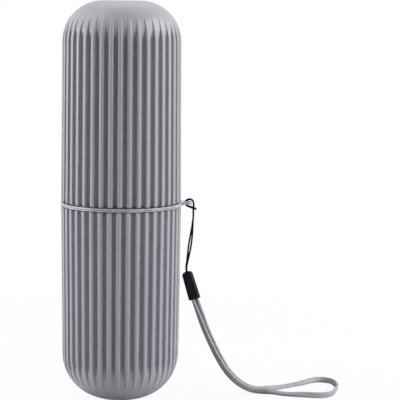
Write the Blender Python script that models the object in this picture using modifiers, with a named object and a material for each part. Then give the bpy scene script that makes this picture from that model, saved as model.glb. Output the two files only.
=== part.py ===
"""Toothbrush travel case: a ribbed lower cup and a ribbed cover joined by a collar, with a wrist lanyard.

All lengths are in metres. +Z is up, the case stands on Z = 0 and its axis is the Z axis.
The lanyard's ear points along +X.
"""

import math

import bmesh
import bpy
import numpy as np
from mathutils import Matrix, Vector

# Heights of the stacked pieces
CUP_HEIGHT = 0.0975
RING_THICKNESS = 0.0020
COVER_HEIGHT = 0.0992
SEAM_GAP = 0.0003

# Ribbed shells
OUTER_RADIUS = 0.0300
RIB_COUNT = 40
GROOVE_WIDTH = 0.0023
GROOVE_DEPTH = 0.0021
GROOVE_END_DEG = 42.0
END_WALL = 0.0025
COVER_WALL = 0.0012
COVER_DOME_RADIUS = 0.0203
COVER_TAPER_DEG = 0.40
COVER_RIB_TURN_DEG = -1.4
CUP_WALL = 0.0022
CUP_DOME_RADIUS = 0.0232
CUP_TAPER_DEG = 0.54
CUP_RIB_TURN_DEG = -2.4

# Collar that joins the two shells
FIT_GAP = 0.0003
COLLAR_WALL = 0.0015
COLLAR_RISE = 0.0145
COLLAR_DEPTH = 0.0120
COLLAR_EDGE = 0.0004
SNAP_BEAD_HEIGHT = 0.0003
SNAP_BEAD_WIDTH = 0.0012
SNAP_BEAD_DROP = 0.0035

# Ring with the lanyard's ear
RING_EDGE = 0.00045
EAR_THICKNESS = 0.0016
EAR_HOLE_REACH = 0.0030
EAR_HOLE_RADIUS = 0.0015
EAR_RIM = 0.0010
EAR_ROOT_HALF_WIDTH = 0.0030
EAR_EDGE = 0.0003

# Lanyard pieces
STRING_DIAMETER = 0.0009
STRAP_WIDTH = 0.0030
STRAP_THICKNESS = 0.0016
STRAP_PAIR_GAP = 0.0004
STRAP_EDGE = 0.0003
CRIMP_LENGTH = 0.0143
CRIMP_TOP_WIDTH = 0.0054
CRIMP_MOUTH_WIDTH = 0.0061
CRIMP_TOP_DEPTH = 0.0046
CRIMP_MOUTH_DEPTH = 0.0052
CRIMP_EDGE = 0.0014
CRIMP_MOUTH_EDGE_SHARE = 0.35
CRIMP_BORE_DEPTH = 0.0100
CRIMP_STRING_SPACING = 0.0013
CRIMP_MOUTH_PLACE = (0.0373, 0.0, 0.0503)
CRIMP_TILT_DEG = 16.9

# One overrun for every cut, and how finely round shapes are divided
CUT_OVERRUN = 0.0010
ROUND_STEPS = 60
DOME_STEPS = 9
GROOVE_END_STEPS = 6
GROOVE_END_OVERRUN_DEG = 4.0
SMALL_ROUND_STEPS = 24
EDGE_STEPS = 2
MERGE_DISTANCE = 0.00001
SHARP_DEG = 30.0
STRING_POINTS = 80
STRAP_POINTS = 90
FINE_POINTS_PER_KNOT = 40

# The string's route: up from the crimp, hitched through the ear, and back down
STRING_ROUTE = [
    (0.03388, -0.00065, 0.06154),
    (0.03310, -0.00065, 0.06370),
    (0.03285, -0.00062, 0.06580),
    (0.03318, -0.00052, 0.06950),
    (0.03382, -0.00015, 0.07600),
    (0.03522, -0.00040, 0.08500),
    (0.03590, -0.00065, 0.08950),
    (0.03618, -0.00055, 0.09260),
    (0.03622, -0.00049, 0.09580),
    (0.03630, -0.00050, 0.09850),
    (0.03571, -0.00050, 0.10022),
    (0.03415, -0.00058, 0.10083),
    (0.03274, -0.00056, 0.10023),
    (0.03225, -0.00056, 0.09897),
    (0.03262, -0.00065, 0.09793),
    (0.03346, -0.00087, 0.09734),
    (0.03461, -0.00141, 0.09702),
    (0.03576, -0.00169, 0.09652),
    (0.03694, -0.00121, 0.09612),
    (0.03744, 0.00000, 0.09598),
    (0.03694, 0.00121, 0.09612),
    (0.03576, 0.00169, 0.09652),
    (0.03461, 0.00141, 0.09702),
    (0.03346, 0.00087, 0.09734),
    (0.03262, 0.00065, 0.09793),
    (0.03225, 0.00056, 0.09897),
    (0.03274, 0.00056, 0.10023),
    (0.03415, 0.00058, 0.10083),
    (0.03571, 0.00050, 0.10022),
    (0.03630, 0.00050, 0.09850),
    (0.03622, 0.00049, 0.09580),
    (0.03620, 0.00060, 0.09260),
    (0.03608, 0.00070, 0.08950),
    (0.03592, 0.00055, 0.08500),
    (0.03502, 0.00030, 0.07600),
    (0.03371, 0.00055, 0.06950),
    (0.03313, 0.00062, 0.06580),
    (0.03323, 0.00065, 0.06370),
    (0.03388, 0.00065, 0.06154),
]

# The strap's two layers share this route down from the crimp: x, y, z, twist in degrees
STRAP_PAIR_ROUTE = [
    (0.03450, 0.00000, 0.05952, 0.0),
    (0.03590, 0.00000, 0.05490, -3.0),
    (0.03738, 0.00000, 0.05008, -12.0),
    (0.03997, 0.00015, 0.04298, -28.0),
    (0.04236, 0.00050, 0.03647, -34.0),
    (0.04629, 0.00110, 0.02733, -38.0),
    (0.05162, 0.00200, 0.01693, -49.0),
    (0.05734, 0.00300, 0.00907, -61.0),
    (0.06226, 0.00390, 0.00497, -71.0),
    (0.06610, 0.00440, 0.00294, -76.0),
    (0.06960, 0.00470, 0.00196, -81.0),
]

# The strap's single loop on the table, from its near side round to its far side
STRAP_LOOP_ROUTE = [
    (0.07577, 0.00200, 0.00176, -138.0),
    (0.08301, -0.00106, 0.00134, -164.0),
    (0.09132, -0.00407, 0.00168, -143.0),
    (0.09839, -0.00585, 0.00178, -107.0),
    (0.10344, -0.00530, 0.00168, -91.0),
    (0.10740, -0.00250, 0.00178, -76.0),
    (0.11000, 0.00363, 0.00176, -79.0),
    (0.11205, 0.01130, 0.00176, -80.0),
    (0.11205, 0.01823, 0.00180, -71.0),
    (0.11040, 0.02400, 0.00182, -63.0),
    (0.10620, 0.02690, 0.00182, -60.0),
    (0.10280, 0.02690, 0.00180, -52.0),
    (0.09600, 0.02210, 0.00152, -27.0),
    (0.08911, 0.01768, 0.00126, -12.0),
    (0.08228, 0.01267, 0.00136, -18.0),
    (0.07571, 0.00800, 0.00182, -49.0),
]

# Places that follow from the sizes above
RING_BOTTOM_Z = CUP_HEIGHT + SEAM_GAP
RING_TOP_Z = RING_BOTTOM_Z + RING_THICKNESS
COVER_RIM_Z = RING_TOP_Z + SEAM_GAP
COVER_BORE_RADIUS = OUTER_RADIUS - GROOVE_DEPTH - COVER_WALL
COLLAR_OUTER_RADIUS = COVER_BORE_RADIUS - FIT_GAP - SNAP_BEAD_HEIGHT
COLLAR_INNER_RADIUS = COLLAR_OUTER_RADIUS - COLLAR_WALL
COLLAR_SEAT_RADIUS = COLLAR_OUTER_RADIUS + FIT_GAP
COLLAR_BOTTOM_Z = CUP_HEIGHT - COLLAR_DEPTH
COLLAR_TOP_Z = CUP_HEIGHT + COLLAR_RISE
EAR_HOLE_X = OUTER_RADIUS + EAR_HOLE_REACH
STRAP_LAYER_OFFSET = (STRAP_THICKNESS + STRAP_PAIR_GAP) / 2


def clear_objects():
    """Remove every object that the file holds."""
    for old in list(bpy.data.objects):
        bpy.data.objects.remove(old, do_unlink=True)


def new_collection(name):
    """A collection linked to the scene."""
    collection = bpy.data.collections.new(name)
    bpy.context.scene.collection.children.link(collection)
    return collection


def new_material(name, colour, roughness, metallic=0.0):
    """A plain Principled material with the piece's colour."""
    material = bpy.data.materials.new(name)
    material.use_nodes = True
    shader = material.node_tree.nodes["Principled BSDF"]
    shader.inputs["Base Color"].default_value = (*colour, 1.0)
    shader.inputs["Roughness"].default_value = roughness
    shader.inputs["Metallic"].default_value = metallic
    material.diffuse_color = (*colour, 1.0)
    return material


def add_object(name, mesh, collection, material=None):
    """Put a mesh in the scene as a named object."""
    piece = bpy.data.objects.new(name, mesh)
    collection.objects.link(piece)
    if material is not None:
        mesh.materials.append(material)
    return piece


def add_cutter(name, mesh, collection):
    """A cutter shows as wire and stays out of renders."""
    cutter = add_object(name, mesh, collection)
    cutter.hide_render = True
    cutter.display_type = "WIRE"
    return cutter


def boolean(piece, other, operation):
    """Cut or join with the exact solver."""
    modifier = piece.modifiers.new(f"{operation.lower()} {other.name}", "BOOLEAN")
    modifier.operation = operation
    modifier.solver = "EXACT"
    modifier.object = other


def turned(name, profile, steps, collection, material=None, closed=False):
    """A solid of revolution: the profile is a chain of (radius, height) that runs down its outer side."""
    mesh = bpy.data.meshes.new(name)
    points = [(radius, 0.0, height) for radius, height in profile]
    edges = [(index, index + 1) for index in range(len(points) - 1)]
    if closed:
        edges.append((len(points) - 1, 0))
    mesh.from_pydata(points, edges, [])
    piece = add_object(name, mesh, collection, material)
    screw = piece.modifiers.new("turn", "SCREW")
    screw.axis = "Z"
    screw.angle = math.tau
    screw.steps = steps
    screw.render_steps = steps
    screw.use_merge_vertices = True
    screw.merge_threshold = MERGE_DISTANCE
    screw.use_smooth_shade = False
    return piece


def flat_outline(name, outline, thickness):
    """A mesh made from a closed 2D curve, filled on both sides and extruded by its thickness."""
    curve = bpy.data.curves.new(name, "CURVE")
    curve.dimensions = "2D"
    curve.fill_mode = "BOTH"
    curve.extrude = thickness / 2
    spline = curve.splines.new("POLY")
    spline.points.add(len(outline) - 1)
    for point, (x, y) in zip(spline.points, outline):
        point.co = (x, y, 0.0, 1.0)
    spline.use_cyclic_u = True
    return curve_to_mesh(name, curve)


def curve_to_mesh(name, curve):
    """Turn a curve into a welded mesh and remove the curve."""
    holder = bpy.data.objects.new(f"{name} curve", curve)
    bpy.context.scene.collection.objects.link(holder)
    bpy.context.view_layer.update()
    depsgraph = bpy.context.evaluated_depsgraph_get()
    mesh = bpy.data.meshes.new_from_object(holder.evaluated_get(depsgraph))
    mesh.name = name
    mesh.transform(holder.matrix_world)
    work = bmesh.new()
    work.from_mesh(mesh)
    bmesh.ops.remove_doubles(work, verts=work.verts, dist=MERGE_DISTANCE)
    bmesh.ops.recalc_face_normals(work, faces=work.faces)
    work.to_mesh(mesh)
    work.free()
    bpy.data.objects.remove(holder, do_unlink=True)
    bpy.data.curves.remove(curve)
    return mesh


def box_mesh(name, low, high):
    """A box between two corners."""
    mesh = bpy.data.meshes.new(name)
    size = Vector(high) - Vector(low)
    middle = (Vector(high) + Vector(low)) / 2
    work = bmesh.new()
    placing = Matrix.Translation(middle) @ Matrix.Diagonal((*size, 1.0))
    bmesh.ops.create_cube(work, size=1.0, matrix=placing)
    work.to_mesh(mesh)
    work.free()
    return mesh


def arc(centre, radius, start_deg, end_deg, steps):
    """Points along an arc of a circle in the (radius, height) plane."""
    angles = np.radians(np.linspace(start_deg, end_deg, steps + 1))
    return [(centre[0] + radius * math.cos(a), centre[1] + radius * math.sin(a)) for a in angles]


def spline_through(points, count):
    """Evenly spaced points on the natural cubic spline through a route, whatever its columns hold."""
    route = np.array(points, dtype=float)
    steps = np.linalg.norm(np.diff(route[:, :3], axis=0), axis=1)
    knots = np.concatenate([[0.0], np.cumsum(steps)])
    total = len(route)
    matrix = np.eye(total)
    right = np.zeros_like(route)
    for i in range(1, total - 1):
        matrix[i, i - 1:i + 2] = steps[i - 1], 2 * (steps[i - 1] + steps[i]), steps[i]
        slope_after = (route[i + 1] - route[i]) / steps[i]
        slope_before = (route[i] - route[i - 1]) / steps[i - 1]
        right[i] = 6 * (slope_after - slope_before)
    bend = np.linalg.solve(matrix, right)

    def at(places):
        i = np.clip(np.searchsorted(knots, places, side="right") - 1, 0, total - 2)
        h = steps[i][:, None]
        b = (places - knots[i])[:, None] / h
        a = 1 - b
        curve = a * route[i] + b * route[i + 1]
        return curve + ((a**3 - a) * bend[i] + (b**3 - b) * bend[i + 1]) * h**2 / 6

    fine = at(np.linspace(0.0, knots[-1], FINE_POINTS_PER_KNOT * total))
    lengths = np.concatenate([[0.0], np.cumsum(np.linalg.norm(np.diff(fine[:, :3], axis=0), axis=1))])
    wanted = np.linspace(0.0, lengths[-1], count)
    columns = [np.interp(wanted, lengths, fine[:, k]) for k in range(route.shape[1])]
    return np.stack(columns, axis=1)


def unit(vectors):
    """Vectors scaled to length one, row by row."""
    return vectors / np.linalg.norm(vectors, axis=1, keepdims=True)


def frames_along(places, twist_deg):
    """Tangents and width directions: the width starts level and turns about the tangent by the twist."""
    tangents = unit(np.gradient(places, axis=0))
    level = unit(np.cross([0.0, 0.0, 1.0], tangents))
    upward = np.cross(tangents, level)
    twist = np.radians(twist_deg)[:, None]
    widths = np.cos(twist) * level + np.sin(twist) * upward
    return tangents, widths


class Shell:
    """The turned outline of one ribbed shell, measured from its rim (0) to its closed end (height)."""

    def __init__(self, height, dome_radius, taper_deg, wall):
        self.height = height
        self.dome_radius = dome_radius
        self.dome_height = height - dome_radius
        self.shoulder_radius = OUTER_RADIUS - self.dome_height * math.tan(math.radians(taper_deg))
        self.dome_centre = self.shoulder_radius - dome_radius
        self.depth_to_bore = GROOVE_DEPTH + wall

    def outside(self):
        """From the closed end's centre over the dome and down the tapered side to the rim."""
        dome = arc((self.dome_centre, self.dome_height), self.dome_radius, 90, 0, DOME_STEPS)
        return [(0.0, self.height)] + dome + [(OUTER_RADIUS, 0.0)]

    def inside(self):
        """From the rim up the bore and round its own dome to the centre."""
        radius = self.dome_radius - self.depth_to_bore
        centre = (self.dome_centre, self.height - END_WALL - radius)
        dome = arc(centre, radius, 0, 90, DOME_STEPS)
        return [(OUTER_RADIUS - self.depth_to_bore, 0.0)] + dome + [(0.0, self.height - END_WALL)]

    def groove_outline(self):
        """What one groove takes away: open at the rim, its floor curving out through the dome."""
        end = math.radians(GROOVE_END_DEG)
        run_in = self.dome_radius * (1 - math.cos(end)) - GROOVE_DEPTH
        rise = self.dome_radius * math.sin(end)
        floor_radius = (run_in**2 + rise**2) / (2 * run_in)
        floor_start = self.shoulder_radius - GROOVE_DEPTH
        floor_centre = (floor_start - floor_radius, self.dome_height)
        sweep = math.degrees(math.asin(rise / floor_radius)) + GROOVE_END_OVERRUN_DEG
        floor = arc(floor_centre, floor_radius, 0, sweep, GROOVE_END_STEPS)
        taper = (OUTER_RADIUS - self.shoulder_radius) / self.dome_height
        rim_floor = OUTER_RADIUS - GROOVE_DEPTH + taper * CUT_OVERRUN
        beyond = OUTER_RADIUS + CUT_OVERRUN
        return [(rim_floor, -CUT_OVERRUN)] + floor + [(beyond, floor[-1][1]), (beyond, -CUT_OVERRUN)]


def facet_turn(rib_turn_deg):
    """The turn that lays one flat facet of a shell under each rib."""
    return math.radians(rib_turn_deg - 90 - 180 / RIB_COUNT)


def mapped(profile, rim_z, direction):
    """A rim-based profile placed in the world: direction is +1 above the rim and -1 below it."""
    return [(radius, rim_z + direction * height) for radius, height in profile]


def groove_cutter(name, shell, rim_z, direction, turn_deg, collection):
    """All the grooves of one shell as separate upright bars in one cutter."""
    bar = flat_outline(name, mapped(shell.groove_outline(), rim_z, direction), GROOVE_WIDTH)
    bar.transform(Matrix.Rotation(math.radians(90), 4, "X"))
    bars = bmesh.new()
    for index in range(RIB_COUNT):
        # A rib faces the front (-Y) turned by turn_deg, so the grooves lie half a pitch beside it.
        angle = math.radians(turn_deg - 90 + (index + 0.5) * 360 / RIB_COUNT)
        copy = bar.copy()
        copy.transform(Matrix.Rotation(angle, 4, "Z"))
        bars.from_mesh(copy)
        bpy.data.meshes.remove(copy)
    bars.to_mesh(bar)
    bars.free()
    return add_cutter(name, bar, collection)


def make_cover(parts, cutters, material):
    """The cover: a ribbed shell with its rim down, lifted off along the axis."""
    shell = Shell(COVER_HEIGHT, COVER_DOME_RADIUS, COVER_TAPER_DEG, COVER_WALL)
    profile = shell.outside() + shell.inside()
    cover = turned("upper_cup", profile, RIB_COUNT, parts, material)
    cover.location.z = COVER_RIM_Z
    cover.rotation_euler.z = facet_turn(COVER_RIB_TURN_DEG)
    grooves = groove_cutter("cover grooves", shell, COVER_RIM_Z, 1, COVER_RIB_TURN_DEG, cutters)
    boolean(cover, grooves, "DIFFERENCE")
    return cover


def make_cup(parts, cutters, material):
    """The lower cup: a ribbed shell with its rim up and a seat inside it for the collar."""
    shell = Shell(CUP_HEIGHT, CUP_DOME_RADIUS, CUP_TAPER_DEG, CUP_WALL)
    seat_depth = COLLAR_DEPTH + FIT_GAP
    bore = shell.inside()
    slope = (bore[0][0] - bore[1][0]) / bore[1][1]
    ledge_radius = bore[0][0] - slope * seat_depth
    seat = [(COLLAR_SEAT_RADIUS, 0.0), (COLLAR_SEAT_RADIUS, seat_depth), (ledge_radius, seat_depth)]
    profile = mapped(shell.outside() + seat + bore[1:], CUP_HEIGHT, -1)
    cup = turned("lower_cup", profile[::-1], RIB_COUNT, parts, material)
    cup.rotation_euler.z = facet_turn(CUP_RIB_TURN_DEG)
    grooves = groove_cutter("cup grooves", shell, CUP_HEIGHT, -1, CUP_RIB_TURN_DEG, cutters)
    boolean(cup, grooves, "DIFFERENCE")
    return cup


def make_collar(parts, material):
    """The collar: a thin sleeve seated in the lower cup, with a low bead that grips the cover."""
    inner, outer = COLLAR_INNER_RADIUS, COLLAR_OUTER_RADIUS
    bead_z = COLLAR_TOP_Z - SNAP_BEAD_DROP
    profile = [
        (inner + COLLAR_EDGE, COLLAR_TOP_Z),
        (outer - COLLAR_EDGE, COLLAR_TOP_Z),
        (outer, COLLAR_TOP_Z - COLLAR_EDGE),
        (outer, bead_z + SNAP_BEAD_WIDTH / 2),
        (outer + SNAP_BEAD_HEIGHT, bead_z),
        (outer, bead_z - SNAP_BEAD_WIDTH / 2),
        (outer, COLLAR_BOTTOM_Z),
        (inner, COLLAR_BOTTOM_Z),
        (inner, COLLAR_TOP_Z - COLLAR_EDGE),
    ]
    return turned("neck_collar", profile, ROUND_STEPS, parts, material, closed=True)


def make_ring(parts, cutters, material):
    """The ring between the shells, turning on the collar, with the lanyard's thinner ear flush with its top."""
    inner, outer = COLLAR_SEAT_RADIUS, OUTER_RADIUS
    half = RING_THICKNESS / 2
    round_over = arc((outer - RING_EDGE, half - RING_EDGE), RING_EDGE, 90, 0, EDGE_STEPS)
    round_under = arc((outer - RING_EDGE, RING_EDGE - half), RING_EDGE, 0, -90, EDGE_STEPS)
    profile = [(inner, half)] + round_over + round_under + [(inner, -half)]
    ring = turned("lanyard_ring", profile, ROUND_STEPS, parts, material, closed=True)
    ring.location.z = RING_BOTTOM_Z + half

    tip = arc((EAR_HOLE_X, 0.0), EAR_HOLE_RADIUS + EAR_RIM, -90, 90, SMALL_ROUND_STEPS // 2)
    root_x = (inner + outer) / 2
    outline = tip + [(outer, EAR_ROOT_HALF_WIDTH), (root_x, EAR_ROOT_HALF_WIDTH)]
    outline += [(root_x, -EAR_ROOT_HALF_WIDTH), (outer, -EAR_ROOT_HALF_WIDTH)]
    ear = add_cutter("ear blank", flat_outline("ear blank", outline, EAR_THICKNESS), cutters)
    ear.location.z = RING_TOP_Z - EAR_THICKNESS / 2
    rounding = ear.modifiers.new("rounded edges", "BEVEL")
    rounding.width = EAR_EDGE
    rounding.segments = EDGE_STEPS
    rounding.limit_method = "ANGLE"
    rounding.angle_limit = math.radians(SHARP_DEG * 2)
    boolean(ring, ear, "UNION")

    drill = bpy.data.meshes.new("ear hole")
    work = bmesh.new()
    bmesh.ops.create_cone(
        work,
        cap_ends=True,
        segments=SMALL_ROUND_STEPS,
        radius1=EAR_HOLE_RADIUS,
        radius2=EAR_HOLE_RADIUS,
        depth=RING_THICKNESS + 2 * CUT_OVERRUN,
    )
    work.to_mesh(drill)
    work.free()
    hole = add_cutter("ear hole", drill, cutters)
    hole.location = (EAR_HOLE_X, 0.0, ring.location.z)
    boolean(ring, hole, "DIFFERENCE")
    return ring


def make_string(parts, material):
    """The thin round string, doubled and hitched through the ear."""
    curve = bpy.data.curves.new("lanyard_string", "CURVE")
    curve.dimensions = "3D"
    curve.fill_mode = "FULL"
    curve.bevel_depth = STRING_DIAMETER / 2
    curve.bevel_resolution = 2
    curve.use_fill_caps = True
    places = spline_through(STRING_ROUTE, STRING_POINTS)
    spline = curve.splines.new("POLY")
    spline.points.add(len(places) - 1)
    for point, place in zip(spline.points, places):
        point.co = (*place, 1.0)
    string = add_object("lanyard_string", curve_to_mesh("lanyard_string", curve), parts, material)
    return string


def make_crimp(parts, cutters, material):
    """The crimp: a tapered block that grips the strap's two ends below and the string above."""
    mouth_corner = (CRIMP_MOUTH_WIDTH / 2, CRIMP_MOUTH_DEPTH / 2)
    top_corner = (CRIMP_TOP_WIDTH / 2, CRIMP_TOP_DEPTH / 2)
    blank = box_mesh(
        "crimp_sleeve",
        (-mouth_corner[0], -mouth_corner[1], 0.0),
        (*mouth_corner, CRIMP_LENGTH),
    )
    work = bmesh.new()
    work.from_mesh(blank)
    for corner in work.verts:
        if corner.co.z > CRIMP_LENGTH / 2:
            corner.co.x *= top_corner[0] / mouth_corner[0]
            corner.co.y *= top_corner[1] / mouth_corner[1]
    weight = work.edges.layers.float.new("bevel_weight_edge")
    for edge in work.edges:
        at_mouth = all(end.co.z < CRIMP_LENGTH / 2 for end in edge.verts)
        edge[weight] = CRIMP_MOUTH_EDGE_SHARE if at_mouth else 1.0
    work.to_mesh(blank)
    work.free()
    crimp = add_object("crimp_sleeve", blank, parts, material)
    rounding = crimp.modifiers.new("rounded edges", "BEVEL")
    rounding.width = CRIMP_EDGE
    rounding.segments = EDGE_STEPS
    rounding.limit_method = "WEIGHT"

    pair_half = STRAP_LAYER_OFFSET + STRAP_THICKNESS / 2 + FIT_GAP
    width_half = STRAP_WIDTH / 2 + FIT_GAP
    bore_mesh = box_mesh(
        "crimp bore",
        (-pair_half, -width_half, -CUT_OVERRUN),
        (pair_half, width_half, CRIMP_BORE_DEPTH),
    )
    string_half = STRING_DIAMETER / 2 + FIT_GAP
    slot_half = CRIMP_STRING_SPACING / 2 + string_half
    slot_mesh = box_mesh(
        "crimp string slot",
        (-string_half, -slot_half, CRIMP_BORE_DEPTH - CUT_OVERRUN),
        (string_half, slot_half, CRIMP_LENGTH + CUT_OVERRUN),
    )
    placing = Matrix.Translation(CRIMP_MOUTH_PLACE) @ Matrix.Rotation(math.radians(-CRIMP_TILT_DEG), 4, "Y")
    crimp.matrix_world = placing
    for mesh in (bore_mesh, slot_mesh):
        cutter = add_cutter(mesh.name, mesh, cutters)
        cutter.matrix_world = placing
        boolean(crimp, cutter, "DIFFERENCE")
    return crimp


def strap_route():
    """The strap's whole centreline: down as one layer, round the loop, and back up as the other."""
    pair = np.array(STRAP_PAIR_ROUTE)
    tangents, widths = frames_along(pair[:, :3], pair[:, 3])
    across = np.cross(widths, tangents) * STRAP_LAYER_OFFSET
    down = pair.copy()
    down[:, :3] += across
    back = pair.copy()
    back[:, :3] -= across
    back[:, 3] = -180.0 - pair[:, 3]
    return np.concatenate([down, np.array(STRAP_LOOP_ROUTE), back[::-1]])


def make_strap(parts, material):
    """The flat braided strap: a twisting ribbon given its thickness, both ends inside the crimp."""
    route = spline_through(strap_route(), STRAP_POINTS)
    _, widths = frames_along(route[:, :3], route[:, 3])
    half = widths * (STRAP_WIDTH / 2)
    edges = np.stack([route[:, :3] - half, route[:, :3] + half], axis=1).reshape(-1, 3)
    first = np.arange(STRAP_POINTS - 1) * 2
    faces = np.stack([first, first + 1, first + 3, first + 2], axis=1)
    mesh = bpy.data.meshes.new("wrist_strap")
    mesh.from_pydata(edges.tolist(), [], faces.tolist())
    strap = add_object("wrist_strap", mesh, parts, material)
    thickness = strap.modifiers.new("thickness", "SOLIDIFY")
    thickness.thickness = STRAP_THICKNESS
    thickness.offset = 0.0
    rounding = strap.modifiers.new("rounded edges", "BEVEL")
    rounding.width = STRAP_EDGE
    rounding.segments = 1
    rounding.limit_method = "ANGLE"
    rounding.angle_limit = math.radians(SHARP_DEG * 2)
    return strap


def smooth_shading(piece):
    """Round faces shade smoothly and keep their sharp edges."""
    mesh = piece.data
    if mesh.polygons:
        mesh.shade_smooth()
        mesh.set_sharp_from_angle(angle=math.radians(SHARP_DEG))


def build():
    """Make every piece and hang the lanyard's pieces on the ring's axis."""
    clear_objects()
    parts = new_collection("toothbrush_travel_case")
    cutters = new_collection("cutters")

    shell_grey = new_material("shell_grey", (0.36, 0.36, 0.39), 0.50)
    cover_grey = new_material("cover_grey", (0.37, 0.37, 0.40), 0.50)
    collar_grey = new_material("collar_grey", (0.42, 0.42, 0.45), 0.45)
    ring_grey = new_material("ring_grey", (0.40, 0.40, 0.43), 0.45)
    string_black = new_material("string_black", (0.012, 0.012, 0.014), 0.70)
    crimp_black = new_material("crimp_black", (0.010, 0.010, 0.012), 0.35)
    strap_grey = new_material("strap_grey", (0.30, 0.30, 0.33), 0.85)

    make_cup(parts, cutters, shell_grey)
    make_cover(parts, cutters, cover_grey)
    make_collar(parts, collar_grey)
    ring = make_ring(parts, cutters, ring_grey)
    lanyard = [
        ring,
        make_string(parts, string_black),
        make_crimp(parts, cutters, crimp_black),
        make_strap(parts, strap_grey),
    ]

    pivot = bpy.data.objects.new("lanyard_pivot", None)
    parts.objects.link(pivot)
    pivot.location.z = ring.location.z
    bpy.context.view_layer.update()
    for piece in lanyard:
        piece.parent = pivot
        piece.matrix_parent_inverse = pivot.matrix_world.inverted()
    for piece in parts.objects:
        if piece.type == "MESH":
            smooth_shading(piece)
    bpy.context.view_layer.update()


build()
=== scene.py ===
# %% [markdown]
# # A ribbed travel case for a toothbrush
# The object is a tall capsule of satin grey plastic that opens at a seam round its middle. A thin ring lies
# in the seam, and a wrist lanyard hangs from the ring's ear. The fixed frame holds every piece as a plain
# solid of the right size. This lesson dresses those solids: each piece becomes a fine surface worked out
# with numpy, and each finish becomes a small tree of shader nodes.

# %% Load the frame and note its box
import math

import bpy
import numpy as np
from mathutils import Matrix, Vector


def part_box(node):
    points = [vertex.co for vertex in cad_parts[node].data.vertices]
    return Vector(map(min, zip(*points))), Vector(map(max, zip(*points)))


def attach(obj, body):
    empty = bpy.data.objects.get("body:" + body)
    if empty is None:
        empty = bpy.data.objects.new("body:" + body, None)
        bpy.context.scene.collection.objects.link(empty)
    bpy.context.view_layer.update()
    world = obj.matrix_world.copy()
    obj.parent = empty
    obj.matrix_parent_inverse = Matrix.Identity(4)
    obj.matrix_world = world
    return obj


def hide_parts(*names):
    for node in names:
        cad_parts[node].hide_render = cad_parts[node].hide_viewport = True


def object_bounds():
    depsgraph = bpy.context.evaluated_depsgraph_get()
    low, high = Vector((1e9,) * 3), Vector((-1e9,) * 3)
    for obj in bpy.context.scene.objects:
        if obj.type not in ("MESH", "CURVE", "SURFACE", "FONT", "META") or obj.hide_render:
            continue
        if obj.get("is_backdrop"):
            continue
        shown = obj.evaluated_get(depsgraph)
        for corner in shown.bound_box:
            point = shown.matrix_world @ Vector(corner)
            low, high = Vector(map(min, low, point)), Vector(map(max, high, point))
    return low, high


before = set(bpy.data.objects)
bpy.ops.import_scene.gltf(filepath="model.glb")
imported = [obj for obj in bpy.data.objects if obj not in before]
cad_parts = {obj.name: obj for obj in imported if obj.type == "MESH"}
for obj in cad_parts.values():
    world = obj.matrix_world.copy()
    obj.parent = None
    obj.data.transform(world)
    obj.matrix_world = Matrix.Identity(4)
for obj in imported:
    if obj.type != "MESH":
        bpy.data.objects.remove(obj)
cad_low, cad_high = (list(corner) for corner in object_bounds())
MM = 0.001


def sides_in_mm(low, high):
    """The three sides of a box, in millimetres."""
    return [round((end - start) / MM, 1) for start, end in zip(low, high)]


print("box of the solids in mm:", sides_in_mm(cad_low, cad_high))

# %% [markdown]
# ## The camera
# A product picture like this one is taken from well back with a long lens, a little above the middle of the
# case. The place, the tilt and the lens follow from where the case's top, base, seam and ear lie in the
# picture: the ellipse of the seam gives the height of the eye, and the spread of the ribs its distance.

# %% Camera
PICTURE_SIZE = 400
SENSOR_MM = 36.0
LENS_MM = 145.07
NEAREST_SEEN = 0.02
FARTHEST_SEEN = 60.0
CAMERA_PLACE = (0.0, -0.800, 0.2027)
CAMERA_DOWN_DEG = 7.275
CAMERA_RIGHT_DEG = 2.824
CAMERA_ROLL_DEG = 0.653
EAR_HOLE_X = 33.0 * MM
SEAM_HEIGHT = 98.8 * MM


def in_scene(name, data):
    """A new object that holds the data, linked to the scene."""
    thing = bpy.data.objects.new(name, data)
    bpy.context.scene.collection.objects.link(thing)
    return thing


def turned(degrees, axis):
    """A turn about one axis, as a matrix."""
    return Matrix.Rotation(math.radians(degrees), 4, axis)


def add_camera():
    """A camera that looks along +Y, turned right, tilted down and rolled, in that order."""
    data = bpy.data.cameras.new("picture camera")
    data.lens = LENS_MM
    data.sensor_width = SENSOR_MM
    data.clip_start = NEAREST_SEEN
    data.clip_end = FARTHEST_SEEN
    camera = in_scene("picture camera", data)
    turn, tilt = turned(-CAMERA_RIGHT_DEG, "Z"), turned(90 - CAMERA_DOWN_DEG, "X")
    camera.matrix_world = Matrix.Translation(CAMERA_PLACE) @ turn @ tilt @ turned(CAMERA_ROLL_DEG, "Z")
    bpy.context.scene.camera = camera
    bpy.context.view_layer.update()
    return camera


def picture_place(camera, point):
    """Where a point falls in the picture: its offset from the lens's axis over its distance, in pixels."""
    local = camera.matrix_world.inverted() @ Vector(point)
    focal = PICTURE_SIZE * camera.data.lens / camera.data.sensor_width
    across = PICTURE_SIZE / 2 - focal * local.x / local.z
    down = PICTURE_SIZE / 2 + focal * local.y / local.z
    return round(across, 1), round(down, 1)


camera = add_camera()
landmarks = {"base": (0, 0, 0), "crown": (0, 0, cad_high[2]), "ear hole": (EAR_HOLE_X, 0, SEAM_HEIGHT)}
for label, place in landmarks.items():
    print(label, "falls at pixel", picture_place(camera, place))

# %% [markdown]
# ## From a grid of points to a skin
# Nearly every piece here is a skin of closed rings: a shell is rings round the case's axis, a cord is rings
# round its path, and an eyelet is rings round its bar. So one helper serves them all. It takes the points as
# one array of rings by columns, joins neighbours into quads, and closes each end with a fan of triangles or
# joins the last ring to the first. It also lays two maps: one unfolds the skin into strips for textures, and
# one counts the pattern of a woven piece in whole threads.

# %% The skin helper
BAKE_MAP = "OFBake"
PATTERN_MAP = "pattern"
STRIP_MARGIN_SHARE = 0.01


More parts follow.
